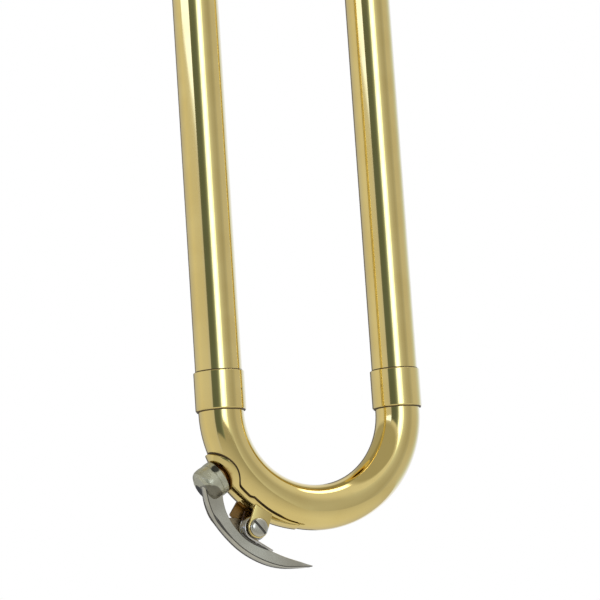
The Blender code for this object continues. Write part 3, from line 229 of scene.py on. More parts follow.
# Finishes on Object coordinates, which are world metres at rest. All metal unless "metal" says
# how much, and bare unless "coat" says.
finishes = {
    "lacqueredBrass": {"colour": (.88, .70, .275), "second": (.84, .655, .245), "rough": .055,
                       "vary": .03, "coat": .15, "bump": .012, "grain": 900,
                       "slot": "lacquered_brass"},
    # Dark bare brass: tarnished brass, darkened further as painted shade for the far ear
    "bareBrass": {"colour": (.38, .235, .08), "second": (.23, .13, .045), "rough": .24,
                  "vary": .10, "bump": .05, "grain": 1500, "slot": "lacquered_brass"},
    # Painted shade: near-black brass for the lines along the ferrules' edges and round the saddle
    # plate
    "oldSolder": {"colour": (.075, .05, .022), "second": (.16, .11, .05), "metal": .6,
                  "rough": .45, "vary": .10, "bump": .10, "grain": 2500,
                  "slot": "lacquered_brass"},
    # Painted shade: dark brown nickel for the lug, standing for its shade and the brass reflected
    # in it
    "fluxStain": {"colour": (.34, .27, .17), "second": (.10, .075, .045), "metal": .8,
                  "rough": .36, "vary": .10, "bump": .08, "grain": 3200,
                  "slot": "nickel_silver"},
    "cupNickel": {"colour": (.57, .56, .42), "second": (.52, .51, .38), "metal": .60,
                  "rough": .28, "vary": .05, "bump": .01, "grain": 700,
                  "slot": "nickel_silver"},
    # Painted shade: near-black nickel for the screw slot's floor and the lines along the lever
    "darkNickel": {"colour": (.10, .095, .085), "second": (.16, .15, .13), "metal": .8,
                   "rough": .35, "vary": .08, "bump": .04, "grain": 2000,
                   "slot": "nickel_silver"},
    "nickelSilver": {"colour": (.70, .675, .55), "second": (.64, .615, .50), "rough": .12,
                     "vary": .02, "bump": .006, "grain": 1200, "slot": "nickel_silver"},
    "satinNickel": {"colour": (.60, .575, .475), "second": (.53, .51, .42), "rough": .20,
                    "vary": .05, "bump": .02, "grain": 2200, "slot": "nickel_silver"},
    "chromePlate": {"colour": (.80, .81, .83), "second": (.76, .77, .79), "rough": .04,
                    "vary": .02, "bump": .008, "grain": 700, "slot": "chrome"},
    "silverPlate": {"colour": (.93, .92, .89), "second": (.88, .86, .81), "rough": .06,
                    "vary": .04, "bump": .01, "grain": 800, "slot": "silver_plate"},
    "springSteel": {"colour": (.66, .64, .60), "second": (.50, .48, .44), "rough": .14,
                    "vary": .05, "bump": .03, "grain": 3000, "slot": "steel_spring"},
    "cutCork": {"colour": (.50, .31, .16), "second": (.26, .14, .07), "metal": .0,
                "rough": .85, "vary": .10, "bump": .6, "grain": 1600, "slot": "cork"},
    "blackFelt": {"colour": (.025, .025, .03), "second": (.05, .05, .055), "metal": .0,
                  "rough": .95, "vary": .04, "bump": .8, "grain": 2600, "slot": "felt"},
}


# Two colours mixed by broad cloudy noise, bump and brush lines by fine noise, and spots of painted
# shade and painted reflection: balls, or cylinders round an axis, with a ragged edge
def makeFinish(name, kind, stretch=(1, 1, 1), brush=0.0, paintedShadeSpots=()):
    values = finishes[kind]
    thing = bpy.data.materials.new(name)
    thing.use_nodes = True
    tree = thing.node_tree
    tree.nodes.clear()
    place = addNode(tree, "TexCoord").outputs["Object"]
    broad = addNode(tree, "TexNoise", {"Vector": place, "Scale": values["grain"] / 12,
                                       "Detail": 3.0, "Roughness": 0.55}).outputs["Fac"]
    long = addNode(tree, "Mapping", {"Vector": place, "Scale": stretch}).outputs["Vector"]
    fine = addNode(tree, "TexNoise", {"Vector": long, "Scale": values["grain"], "Detail": 2.0,
                                      "Roughness": 0.6}).outputs["Fac"]
    share = stepUp(tree, broad, 0.38, 0.66)
    colour = blendColour(tree, share, (*values["colour"], 1), (*values["second"], 1))
    for spot in paintedShadeSpots:
        away = addNode(tree, "VectorMath", {0: place, 1: spot["centre"]}, operation="SUBTRACT")
        if "axis" in spot:
            away = addNode(tree, "VectorMath", {0: away.outputs[0], 1: spot["axis"]},
                           operation="CROSS_PRODUCT")
        reach = addNode(tree, "VectorMath", {0: away.outputs[0]}, operation="LENGTH")
        reach = calc(tree, "MULTIPLY_ADD", fine, spot["ragged"], reach.outputs["Value"])
        past = stepUp(tree, reach, spot["from"], spot["to"])
        colour = blendColour(tree, past, (*spot["colour"], 1), colour)
    vary = values["vary"]
    rough = addNode(tree, "MapRange", {"Value": broad, "From Min": 0.3, "From Max": 0.7,
                                       "To Min": values["rough"] - vary / 2,
                                       "To Max": values["rough"] + vary}).outputs["Result"]
    if brush:
        lines = addNode(tree, "TexNoise", {"Vector": long, "Scale": values["grain"] * 1.8,
                                           "Detail": 1.0}).outputs["Fac"]
        rough = calc(tree, "MULTIPLY_ADD", lines, brush, rough)
    bump = addNode(tree, "Bump", {"Strength": values["bump"], "Distance": 0.0002,
                                  "Height": fine}).outputs["Normal"]
    shade = addNode(tree, "BsdfPrincipled",
                    {"Base Color": colour, "Metallic": values.get("metal", 1.0),
                     "Roughness": rough, "Normal": bump, "Coat Weight": values.get("coat", 0.0),
                     "Coat Roughness": 0.03})
    tree.links.new(shade.outputs[0], addNode(tree, "OutputMaterial").inputs["Surface"])
    thing.diffuse_color = (*values["colour"], 1)
    return thing


drawn = (1, 1, 0.03)       # grain drawn out along a tube
brassTube = makeFinish("lacqueredBrassTube", "lacqueredBrass", drawn)
brassCast = makeFinish("lacqueredBrass", "lacqueredBrass")
brassBareAndShade = makeFinish("bareBrass", "bareBrass")
brassPaintedShade = makeFinish("oldSolder", "oldSolder")
nickelCast = makeFinish("nickelSilver", "nickelSilver")
lugShadeNickel = makeFinish("fluxStain", "fluxStain")
nickelPaintedShade = makeFinish("darkNickel", "darkNickel")
nickelTube = makeFinish("nickelSilverTube", "nickelSilver", drawn)
nickelSatin = makeFinish("satinNickel", "satinNickel", (1, 0.2, 1), 0.02)
chromeTube = makeFinish("chromeTube", "chromePlate", drawn)
silverTurned = makeFinish("silverPlate", "silverPlate")
corkPad = makeFinish("cutCork", "cutCork")
feltRing = makeFinish("blackFelt", "blackFelt")
print("finishes made")


# Quads of a grid of points: each joins its place to the next row and column, wrapped where closed
def gridFaces(rows, columns, closeRows, closeColumns):
    i = np.arange(rows if closeRows else rows - 1)
    j = np.arange(columns if closeColumns else columns - 1)
    i, j = (a.ravel() for a in np.meshgrid(i, j, indexing="ij"))
    m, n = (i + 1) % rows, (j + 1) % columns
    return np.stack([i * columns + j, m * columns + j, m * columns + n,
                     i * columns + n], axis=1).tolist()


# Outline whose corners (x, y, radius) become curves: a parabola between two points that lie the
# radius over the tangent of half the corner away, with a holding point on each side
def rounded(corners, closed=True, parts=4):
    points = np.array([c[:2] for c in corners], dtype=float)
    radii = [c[2] if len(c) > 2 else 0.0 for c in corners]
    result = []
    count = len(points)
    for i in range(count):
        here, before, after = points[i], points[i - 1], points[(i + 1) % count]
        end = not closed and i in (0, count - 1)
        if end or not radii[i]:
            result.append(here[None])
            continue
        a, b = before - here, after - here
        la, lb = np.hypot(*a), np.hypot(*b)
        a, b = a / la, b / lb
        turn = math.acos(max(-1.0, min(1.0, float(a @ b))))
        cut = min(radii[i] / max(math.tan(turn / 2), 1e-3), 0.42 * la, 0.42 * lb)
        t = np.linspace(0, 1, parts + 1)[:, None]
        arc = (1 - t) ** 2 * (here + a * cut) + 2 * t * (1 - t) * here + t ** 2 * (here + b * cut)
        hold = 0.12 * cut
        result += [(here + a * (cut + hold))[None], arc, (here + b * (cut + hold))[None]]
    return np.vstack(result)


# Turn that carries +Z to an axis
def axisTurn(axis):
    return np.array(Vector((0, 0, 1)).rotation_difference(Vector(axis).normalized()).to_matrix())


# Surface of revolution: each (radius, height) row goes round the axis; shape may bend the rows
def turnedShell(profile, centre=(0, 0, 0), axis=(0, 0, 1), steps=96, shape=None, closed=True):
    profile = np.asarray(profile, dtype=float)
    turn = np.linspace(0, 2 * math.pi, steps, endpoint=False)
    radius, angle = np.meshgrid(profile[:, 0], turn, indexing="ij")
    height = np.repeat(profile[:, 1][:, None], steps, axis=1)
    if shape:
        radius, height = shape(radius, angle, height)
    points = np.stack([radius * np.cos(angle), radius * np.sin(angle), height], axis=2)
    points = points.reshape(-1, 3) @ axisTurn(axis).T + np.array(centre)
    return points, gridFaces(len(profile), steps, closed, True)


# Closed rings of equal length joined in a row, with flat ends
def loftShell(rings):
    rings = np.asarray(rings, dtype=float)
    rows, columns = rings.shape[:2]
    ends = [list(range(columns)), list(range((rows - 1) * columns, rows * columns))]
    return rings.reshape(-1, 3), gridFaces(rows, columns, False, True) + ends


# Round wire: circles square to a path, their start carried along without twist; one radius for
# all points or one for each
def sweptShell(path, radius, sides=24):
    path = np.asarray(path, dtype=float)
    along = np.gradient(path, axis=0)
    along /= np.linalg.norm(along, axis=1)[:, None]
    side = np.cross(along[0], (0.31, 0.93, 0.17))
    radius = np.broadcast_to(radius, len(path))
    turn = np.linspace(0, 2 * math.pi, sides, endpoint=False)[:, None]
    rings = []
    for point, way, reach in zip(path, along, radius):
        side = side - way * (side @ way)
        side /= np.linalg.norm(side)
        rings.append(point + reach * (np.cos(turn) * side + np.sin(turn) * np.cross(way, side)))
    return loftShell(rings)


# Joins closed shells into one piece that rides on a body in place of its CAD nodes
def addPiece(name, shells, finish, body, nodes=(), sharp=38):
    shells = shells if isinstance(shells, list) else [shells]
    points, faces, start = [], [], 0
    for verts, quads in shells:
        points.append(verts)
        faces += [[v + start for v in face] for face in quads]
        start += len(verts)
    mesh = bpy.data.meshes.new(name)
    mesh.from_pydata(np.vstack(points).tolist(), [], faces)
    work = bmesh.new()
    work.from_mesh(mesh)
    bmesh.ops.remove_doubles(work, verts=work.verts, dist=2e-7)
    bmesh.ops.recalc_face_normals(work, faces=work.faces)
    work.to_mesh(mesh)
    work.free()
    mesh.shade_smooth()
    mesh.set_sharp_from_angle(angle=math.radians(sharp))
    mesh.materials.append(finish)
    item = bpy.data.objects.new(name, mesh)
    scene.collection.objects.link(item)
    if body:
        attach(item, body)
    if nodes:
        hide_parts(*nodes)
    return item


# Cuts closed shells out of a piece and keeps the result as its mesh
def carve(item, shells, sharp=38):
    tool = addPiece(item.name + "Tool", shells, item.data.materials[0], None)
    change = item.modifiers.new("cut", "BOOLEAN")
    change.operation = "DIFFERENCE"
    change.solver = "EXACT"
    change.object = tool
    view = bpy.context.evaluated_depsgraph_get()
    mesh = bpy.data.meshes.new_from_object(item.evaluated_get(view))
    item.modifiers.remove(change)
    item.data = mesh
    mesh.set_sharp_from_angle(angle=math.radians(sharp))
    bpy.data.objects.remove(tool)


# Flat plate in the slide's plane: its outline (x, z) drawn in by a quarter circle at both faces,
# which lie at y = low and y = high
def plateShell(outline, low, high, ease=0.00015):
    outline = np.asarray(outline)
    along = np.roll(outline, -1, axis=0) - np.roll(outline, 1, axis=0)
    out = np.stack([along[:, 1], -along[:, 0]], axis=1)
    out /= np.maximum(np.linalg.norm(out, axis=1), 1e-9)[:, None]
    area = np.sum(outline[:, 0] * np.roll(outline[:, 1], -1)
                  - np.roll(outline[:, 0], -1) * outline[:, 1])
    out *= 1 if area > 0 else -1
    rings = []
    for turn in np.radians((0, 22, 45, 68, 90)):
        flat = outline - out * ease * (1 - math.sin(turn))
        rings.append((flat, low + ease * (1 - math.cos(turn))))
    rings += [(flat, low + high - y) for flat, y in reversed(rings)]
    return loftShell([np.stack([f[:, 0], np.full(len(f), y), f[:, 1]], axis=1) for f, y in rings])


# Box between its six sides
def box(lowX, highX, lowY, highY, lowZ, highZ):
    outline = [(lowX, lowZ), (highX, lowZ), (highX, highZ), (lowX, highZ)]
    return loftShell([[(x, y, z) for x, z in outline] for y in (lowY, highY)])


# Catmull-Rom curve through rows of numbers: a cubic from each to the next, parallel at each row
# to the line between its neighbours
def smoothRows(rows, steps):
    rows = np.array(rows, dtype=float)
    padded = np.vstack([2 * rows[0] - rows[1], rows, 2 * rows[-1] - rows[-2]])
    t = (np.arange(steps) / steps)[None, :, None]
    a, b, c, d = (padded[i:i + len(rows) - 1, None, :] for i in range(4))
    curve = 0.5 * (2 * b + (c - a) * t + (2 * a - 5 * b + 4 * c - d) * t ** 2
                   + (3 * b - a - 3 * c + d) * t ** 3)
    return np.vstack([curve.reshape(-1, rows.shape[1]), rows[-1]])


# Half outline of a bar, carried on to its other end
def mirrored(half, size):
    return np.vstack([half[:-1], np.stack([half[::-1, 0], size - half[::-1, 1]], 1)])


# Bell, with a rolled bead at its mouth
bell = {
    "stem": 0.0072,        # inside radius where it meets the stem sleeve
    "flare": 0.8,
    "wall": 0.0005,
    "bead": 0.0022,        # height of the bead
    "flat": 0.0008,        # how much narrower than the bead the rim of the flare is
    "beadTurns": (-38, 135, 14),
    "rings": 110,
    "crowding": 2.1,       # how much closer the rings lie at the mouth
    "steps": 192,
}


# Inside radius = mouth * (offset / (height + offset)) ** flare, the offset giving the stem
def bellRadius(height, length, mouth):
    ratio = (bell["stem"] / mouth) ** (1 / bell["flare"])
    offset = length * ratio / (1 - ratio)
    return mouth * (offset / (height + offset)) ** bell["flare"]


# Inside by the formula, outside the wall's thickness square to it, and the bead as an arc
def makeBell(values):
    low, high = span("bell")[:2]
    wide, length, wall = high[0], high[2] - low[2], values["wall"]
    level = length * np.linspace(0, 1, values["rings"]) ** values["crowding"]
    radius = bellRadius(level, length, wide - values["flat"])
    slope = np.gradient(radius, level)
    size = np.hypot(1, slope)
    outer = np.stack([radius + wall / size, level - slope * wall / size], 1)
    outer = outer[outer[:, 1] > values["bead"]]
    outer[-1] = (values["stem"] + wall, length)
    half = values["bead"] / 2
    turn = np.radians(np.linspace(*values["beadTurns"]))
    bead = np.stack([wide - half + half * np.cos(turn), half + half * np.sin(turn)], 1)
    edge = [(wide - values["flat"] / 4, 0.0)]
    profile = np.vstack([np.stack([radius, level], 1), outer[::-1], bead[::-1], edge])
    addPiece("bell", turnedShell(profile, steps=values["steps"]), brassCast, "bell_section",
             ["bell"])


makeBell(bell)
print("bell made")

# Turned parts. A row of an outline is (radius, end, height from that end, corner), in
# millimetres. A radius of 0 or less is measured inwards from the outside of the CAD node.
foot, top = 0, 1
mm = 0.001


# Section of a plain tube, its outer corners eased twice as much as the inner ones
def plainTube(bore, ease):
    return [(0, foot, 0, ease), (0, top, 0, ease), (bore, top, 0, ease / 2),
            (bore, foot, 0, ease / 2)]


# Outline of rows in metres, with its corners rounded
def outlineOf(node, rows, parts=4):
    low, high = span(node)[:2]
    wide, ends = (high[0] - low[0]) / 2, (low[2], high[2])
    return rounded([(radius * mm + (0 if radius > 0 else wide), ends[end] + lift * mm, ease * mm)
                    for radius, end, lift, ease in rows], True, parts)


# Piece name of a node: outer_tube becomes outerTube
def pieceName(node):
    first, *rest = node.split("_")
    return first + "".join(word.capitalize() for word in rest)


# Nut: eight round grooves, with fine knurling between them
nut = {"grooves": 8, "grooveRadius": 0.0011, "grooveInset": 0.0005, "knurl": 0.00006,
       "lines": 112, "outside": 0.0094, "above": 0.0016, "below": 0.0029}


# Groove = circle's depth round each middle; knurl = waves of the turn where no groove is
def nutShape(low, high):
    wide = (high[0] - low[0]) / 2
    pitch = 2 * math.pi / nut["grooves"]

    def bend(radius, turn, height):
        off = (turn - pitch / 2) % pitch
        off = off - pitch * (off > pitch / 2)
        depth = np.sqrt(np.maximum(nut["grooveRadius"] ** 2 - (wide * np.sin(off)) ** 2, 0))
        groove = np.clip(depth - nut["grooveInset"], 0, None)
        knurl = nut["knurl"] * (1 - np.cos(turn * nut["lines"])) * (groove == 0)
        inside = (height > low[2] + nut["above"]) & (height < high[2] - nut["below"])
        return radius - np.where(radius > nut["outside"], groove + knurl * inside, 0), height

    return bend


# Lock ring: knurled band over a slot that takes the pin. The skin is what counts as its outside,
# and past is how far the cuts reach out of the ring.
lock = {"inside": 0.0090, "knurl": 0.00008, "lines": 96, "above": 0.0075, "below": 0.0023,
        "skin": 0.0001, "slotHalf": 0.0014, "slotHeight": 0.0035, "slotTurn": 35.0,
        "slotSteps": 28, "past": 0.001, "pastInside": 0.0006, "pinEase": 0.00008,
        "pinFlat": 0.0005, "pinCorner": 0.0003}


# Knurl = waves of the turn, taken off the outside of the band
def lockShape(low, high):
    wide = (high[0] - low[0]) / 2

    def bend(radius, turn, height):
        band = (height > low[2] + lock["above"]) & (height < high[2] - lock["below"])
        band &= radius > wide - lock["skin"]
        return radius - band * lock["knurl"] * (1 - np.cos(turn * lock["lines"])), height

    return bend


# Thread crests as rings, under the nut, in millimetres
thread = {"root": 8.75, "start": .6, "pitch": .8, "crests": 13, "deep": .25}


# Each pitch starts at the root radius and dips by the depth at its middle
def threadRows(values):
    root, start, pitch = values["root"], values["start"], values["pitch"]
    rows = []
    for i in range(values["crests"]):
        level = start + i * pitch
        rows += [(root, foot, level + 0.05 * pitch, 0),
                 (root - values["deep"], foot, level + 0.5 * pitch, 0)]
    return rows + [(root, foot, start + values["crests"] * pitch, 0)]


slideSides, tuningSides = ("bell", "mouthpiece"), ("bell", "neck")
turnedParts = [            # node, finish, body, and what else differs
    {"node": "outer_tube", "finish": brassTube, "body": "outer_slide", "sides": slideSides,
     "steps": 96, "rows": plainTube(6.35, .08)},
    {"node": "neckpipe", "finish": nickelTube, "body": "bell_section", "steps": 96,
     "rows": plainTube(6.5, .12)},
    {"node": "tuning_leg", "finish": chromeTube, "body": "tuning_slide", "sides": tuningSides,
     "steps": 96, "rows": plainTube(6, .12)},
    {"node": "tuning_ferrule", "finish": brassCast, "body": "tuning_slide", "sides": tuningSides,
     "steps": 96, "rows": plainTube(6.55, .12)},
    {"node": "bumper", "finish": feltRing, "body": "inner_slide", "sides": slideSides, "steps": 96,
     "rows": plainTube(6.3, .4)},
    {"node": "bow_ferrule", "finish": brassCast, "body": "outer_slide", "sides": slideSides,
     "steps": 128,
     "rows": [(-.12, foot, 0, .11), (0, foot, .3, .11), (0, top, -.15, .11), (-.06, top, 0, .055),
              (6.85, top, 0, .05), (6.85, foot, 5.5, 0), (6.65, foot, 5.5, 0),
              (6.65, foot, 0, .05)]},
    {"node": "inner_tube", "finish": chromeTube, "body": "inner_slide", "sides": slideSides,
     "rows": [(0, foot, 0, .1), (0, foot, 75, .2), (-.1, foot, 76, .2), (-.1, top, 0, .1),
              (5.75, top, 0, .05), (5.75, foot, 0, .05)]},
    {"node": "cork_barrel", "finish": nickelTube, "body": "inner_slide", "sides": slideSides,
     "rows": [(0, foot, 0, .2), (0, foot, 11.2, .12), (-.22, foot, 11.5, .08),
              (0, foot, 11.8, .12), (0, top, -6, .8), (7.2, top, -1, .5), (6.7, top, 0, .15),
              (6.3, top, 0, .1), (6.3, top, -6.8, .1), (-.8, top, -6.8, .3), (-.8, foot, 0, .1)]},
    {"node": "grip_sleeve", "finish": nickelTube, "body": "outer_slide", "sides": slideSides,
     "rows": [(-.3, foot, 0, .1), (0, foot, .7, .3), (0, top, 0, .12), (6.85, top, 0, .05),
              (6.85, foot, 0, .05)]},
    {"node": "neck_receiver", "finish": nickelCast, "body": "bell_section",
     "rows": [(8.45, foot, 0, .1), *threadRows(thread), (8.75, foot, 12, .1), (0, foot, 12.9, .2),
              (0, top, -6.2, .2), (-.3, top, -5.8, .1), (0, top, -5.4, .2), (0, top, -2.2, .4),
              (-1, top, 0, .3), (7.05, top, 0, .1), (7.05, foot, 25.7, 0), (6.5, foot, 25.7, 0),
              (6.5, foot, 23.9, 0), (7.05, foot, 23.9, 0), (7.55, foot, 0, .1)]},
    {"node": "stem_sleeve", "finish": nickelTube, "body": "bell_section",
     "rows": [(0, foot, 0, .15), (0, foot, 10.2, .6), (6.9, foot, 12.4, .6), (6.9, top, 0, .1),
              (6.5, top, 0, .05), (6.5, foot, 8.3, 0), (8.1, foot, 8.3, 0), (8.1, foot, 0, .05)]},
    {"node": "slide_tenon", "finish": nickelCast, "body": "inner_slide",
     "rows": [(8.6, foot, 0, .1), (8.6, foot, 2.1, .1), (7.4, foot, 2.1, .1), (6.9, top, 0, .3),
              (6.3, top, 0, .1), (6.3, foot, 0, .1)]},
    {"node": "bell_lock_nut", "finish": nickelCast, "body": "lock_nut", "steps": 448,
     "shape": nutShape,
     "rows": [(-1.2, foot, 0, .3), (0, foot, 1.5, .6), (0, top, -2.8, .3), (-.4, top, -2.4, .2),
              (-.1, top, -1.8, .3), (-.8, top, 0, .3), (8.95, top, 0, .1), (8.95, foot, 6.4, 0),
              (6.5, foot, 6.4, 0), (6.5, foot, 0, .1)]},
    {"node": "mouthpiece_receiver", "finish": nickelCast, "body": "inner_slide",
     "rows": [(7, foot, 0, .15), (7, foot, 4, .1), (6.85, foot, 4.3, .1), (6.85, foot, 4.7, .1),
              (7, foot, 5, .1), (7, top, -5.5, .3), (7.5, top, -4.4, .4), (7.5, top, -.6, .3),
              (7, top, 0, .2), (5.5, top, 0, .1), (5, top, -24.3, 0), (5, foot, 8.3, 0),
              (6.3, foot, 8.3, 0), (6.3, foot, 0, .1)]},
    {"node": "leadpipe", "finish": brassTube, "body": "inner_slide",
     "rows": [(5.6, foot, 0, .1), (5.6, top, 0, .1), (4.45, top, 0, .1), (4.15, top, -12, 1),
              (5.2, foot, 0, .1)]},
    {"node": "mouthpiece", "finish": silverTurned, "body": "mouthpiece_body", "steps": 128,
     "parts": 7,
     "rows": [(4.85, foot, 0, .2), (5.35, foot, 24, 2), (5.75, foot, 36, 4), (5.95, top, -33, 2),
              (7, top, -30, 1.2), (7, top, -28.6, 1), (6.6, top, -27.2, 1), (8.2, top, -24, 4),
              (10.8, top, -16, 4), (11.4, top, -8.8, 1.5), (12.1, top, -7.2, .8),
              (-.8, top, -5, 1), (0, top, -3.5, 1), (-.3, top, -1.5, .8), (-1.4, top, -.3, .8),
              (-2.6, top, 0, .6), (9.3, top, -.05, .6), (8.3, top, -1.2, .6),
              (7.1, top, -5.175, 3), (4.565, top, -9.43, 3), (1.9, top, -12.65, 1.2),
              (1.9, top, -25.5, 4), (4.25, foot, 0, .1)]},
    {"node": "slide_lock_ring", "finish": nickelCast, "body": "slide_lock", "steps": 384,
     "shape": lockShape,
     "rows": [(0, foot, 0, .25), (0, foot, .8, .1), (-.2, foot, 1.1, .1), (0, foot, 1.4, .1),
              (0, top, -2.2, .1), (-.2, top, -1.9, .1), (0, top, -1.6, .1), (0, top, -1, .4),
              (-.7, top, 0, .3), (lock["inside"] / mm, top, 0, .1),
              (lock["inside"] / mm, foot, 0, .1)]},
]


# Each part on its node's axis, once for each side that it has
def makeTurnedParts(parts):
    for part in parts:
        for side in part.get("sides", (None,)):
            node = part["node"] + (f"_{side}_side" if side else "")
            low, high, middle = span(node)
            shape = part["shape"](low, high) if "shape" in part else None
            shell = turnedShell(outlineOf(node, part["rows"], part.get("parts", 4)),
                                (middle[0], middle[1], 0), steps=part.get("steps", 112),
                                shape=shape)
            addPiece(pieceName(node), shell, part["finish"], part["body"], [node])


makeTurnedParts(turnedParts)

# Dark rings under and over the ferrules that join the outer tubes to the slide bow: painted shade
# of the gaps at their edges
ferruleShadeRows = [
    [(6.55, foot, -.26, 0), (-.3, foot, -.26, 0), (-.3, foot, .2, 0), (6.55, foot, .2, 0)],
    [(6.55, top, -.2, 0), (6.75, top, -.2, 0), (6.75, top, .338, 0), (6.55, top, .338, 0)]]


# Flat rings turned on each ferrule's axis
def makeFerruleShadeRows(rings):
    for side in slideSides:
        node = f"bow_ferrule_{side}_side"
        middle = span(node)[2]
        shells = [turnedShell(outlineOf(node, rows), (middle[0], middle[1], 0)) for rows in rings]
        addPiece(pieceName(node) + "Seams", shells, brassPaintedShade, "outer_slide")


makeFerruleShadeRows(ferruleShadeRows)


# Slot of the lock ring: an entry from below, then a stretch round the ring where the pin
# turns. The pin is turned along Y.
def makeLock(values):
    ring = bpy.data.objects["slideLockRing"]
    low, high, middle = span("slide_lock_ring")
    wide, inside, half = (high[0] - low[0]) / 2, values["inside"], values["slotHalf"]
    pin, past = low[2] + values["slotHeight"], values["past"]
    entry = box(middle[0] - half, middle[0] + half, middle[1] - wide - 2 * past,
                middle[1] - inside + past, low[2] - past, pin + half)
    near, far = inside - values["pastInside"], wide + past
    reach = values["slotTurn"] + math.degrees(half / inside)
    rings = [[(middle[0] + r * math.cos(turn), middle[1] + r * math.sin(turn), pin + z)
              for r, z in ((near, -half), (far, -half), (far, half), (near, half))]
             for turn in np.radians(-90 - np.linspace(0, reach, values["slotSteps"]))]
    carve(ring, entry)
    carve(ring, loftShell(rings))
    low, high, middle = span("slide_lock_pin")
    wide, size, ease = (high[0] - low[0]) / 2, high[1] - low[1], values["pinCorner"]
    profile = rounded([(0, 0), (wide, 0, values["pinEase"]), (wide, size - ease, ease),
                       (values["pinFlat"], size, 0.0002), (0, size)], False)
    shell = turnedShell(profile, (middle[0], high[1], middle[2]), (0, -1, 0), 48, closed=False)
    addPiece("slideLockPin", shell, nickelCast, "outer_slide", ["slide_lock_pin"])


makeLock(lock)
print("tubes, ferrules, neck, mouthpiece and lock made")

# U bends: (body, outer and inner radius, axis of the bend's width, up or down)
bends = {
    "slide_bow": ("outer_slide", 0.0065, 0.0060, 0, -1),
    "tuning_bow": ("tuning_slide", 0.0064, 0.0059, 1, 1),
}


# Tube wall swept round half a circle between short straight ends: both walls' circles stand on
# the half circle, and the first and last row are moved out to the ends
def makeBend(node, body, outer, inner, axis, up, steps=112, sides=80):
    low, high, middle = span(node)
    reach = (high[axis] - low[axis]) / 2 - outer
    level = (high[2] - reach - outer) if up > 0 else (low[2] + reach + outer)
    end = low[2] if up > 0 else high[2]
    turn = np.concatenate([[0], np.linspace(0, math.pi, steps), [math.pi]])
    lift = np.zeros(len(turn))
    lift[[0, -1]] = end - level
    angle = np.linspace(0, 2 * math.pi, sides, endpoint=False)
    walls = []
    for radius in (outer, inner):
        spread = reach + radius * np.cos(angle)[None, :]
        flat = -spread * np.cos(turn)[:, None]
        height = level + lift[:, None] + up * spread * np.sin(turn)[:, None]
        aside = np.broadcast_to(radius * np.sin(angle)[None, :], flat.shape)
        x, y = (flat, aside) if axis == 0 else (aside, flat)
        walls.append(np.stack([middle[0] + x, middle[1] + y, height], axis=2))
    loop = np.concatenate([walls[0], walls[1][::-1]])
    shell = (loop.reshape(-1, 3), gridFaces(len(loop), sides, True, True))
    addPiece(pieceName(node), shell, brassCast, body, [node])


for bendNode, bendValues in bends.items():
    makeBend(bendNode, *bendValues)
print("bows made")

# Water key, in polar places round the slide bow: degrees down from the bell side, reach, y
key = {
    "tube": 0.0065,        # radius of the bow's tube
    "nippleTurn": 31.0, "cupTurn": 31.3, "pivotTurn": 58.4, "pivotHeight": 0.0047,
    "plateBore": 0.00675, "plateBack": 0.00735, "padReach": 0.0067, "padWidth": 0.0076,
    "padBlend": 10.0,      # power of the sum that joins the pad and the strap
    "strap": [(42.0, 0.0049), (47.4, 0.0049), (49.4, 0.0056), (55.2, 0.0053), (60.6, 0.0050),
              (66.0, 0.0048), (71.0, 0.0044), (76.4, 0.0043), (77.5, 0.0036)],
    "tailTurn": 77.5, "tipWidth": 0.0008, "thinFrom": 66.0, "thin": 0.0001, "ease": 0.00016,
    "headArc": (0, 151, 5), "rings": 60, "columns": 31,
    "hair": 0.00002,       # least step between two surfaces
    "earGap": 0.0070, "earThick": 0.0010, "earRadius": 0.0030, "earLean": 6.7, "earHeel": 3.4,
    "earSink": 0.0001, "earEase": 0.00022, "farLean": 11.3, "farCorner": (10.2, 0.0042, 0.0005),
    "seamWidth": 0.00042, "seamHeight": 0.00006, "seamFade": (66.0, 71.5),
}
bowLow, bowHigh, bowMiddle = span("slide_bow")
bowRadius = (bowHigh[0] - bowLow[0]) / 2 - key["tube"]
bowReach = bowRadius + key["tube"]
bowCentre = np.array((bowMiddle[0], bowMiddle[1], bowLow[2] + bowReach))
pivotReach = bowReach + key["pivotHeight"]


# Place round the bow: its centre less the reach times the cosine in x and the sine in z
def onBow(turn, reach, y=0.0):
    turn, reach, y = np.broadcast_arrays(np.radians(turn), reach, y)
    return bowCentre + np.stack([-reach * np.cos(turn), y, -reach * np.sin(turn)], axis=-1)


outWay = onBow(key["nippleTurn"], 1.0) - bowCentre
cupWay = onBow(key["cupTurn"], 1.0) - bowCentre
pivotPlace = onBow(key["pivotTurn"], pivotReach)


def flatOnBow(turn, reach):
    place = onBow(turn, reach)
    return float(place[0]), float(place[2])


# Arc round the pivot: cosine and sine of the angle, turned with the pivot's own place
def pivotArc(radius, start, end):
    return [(pivotPlace[0] + radius * math.cos(a), pivotPlace[2] + radius * math.sin(a))
            for a in np.radians(np.linspace(start, end, 25) + key["pivotTurn"] - 90)]


# Half width of the plate: an ellipse over the nipple, then the strap and its tail
def plateHalf(turn):
    along = bowReach * np.radians(turn - key["nippleTurn"])
    pad = key["padWidth"] * np.sqrt(np.maximum(1 - (along / key["padReach"]) ** 2, 0))
    strap = np.where(along < 0, 0, np.interp(turn, *zip(*key["strap"])))
    power = key["padBlend"]
    return np.maximum((pad ** power + strap ** power) ** (1 / power), key["tipWidth"])
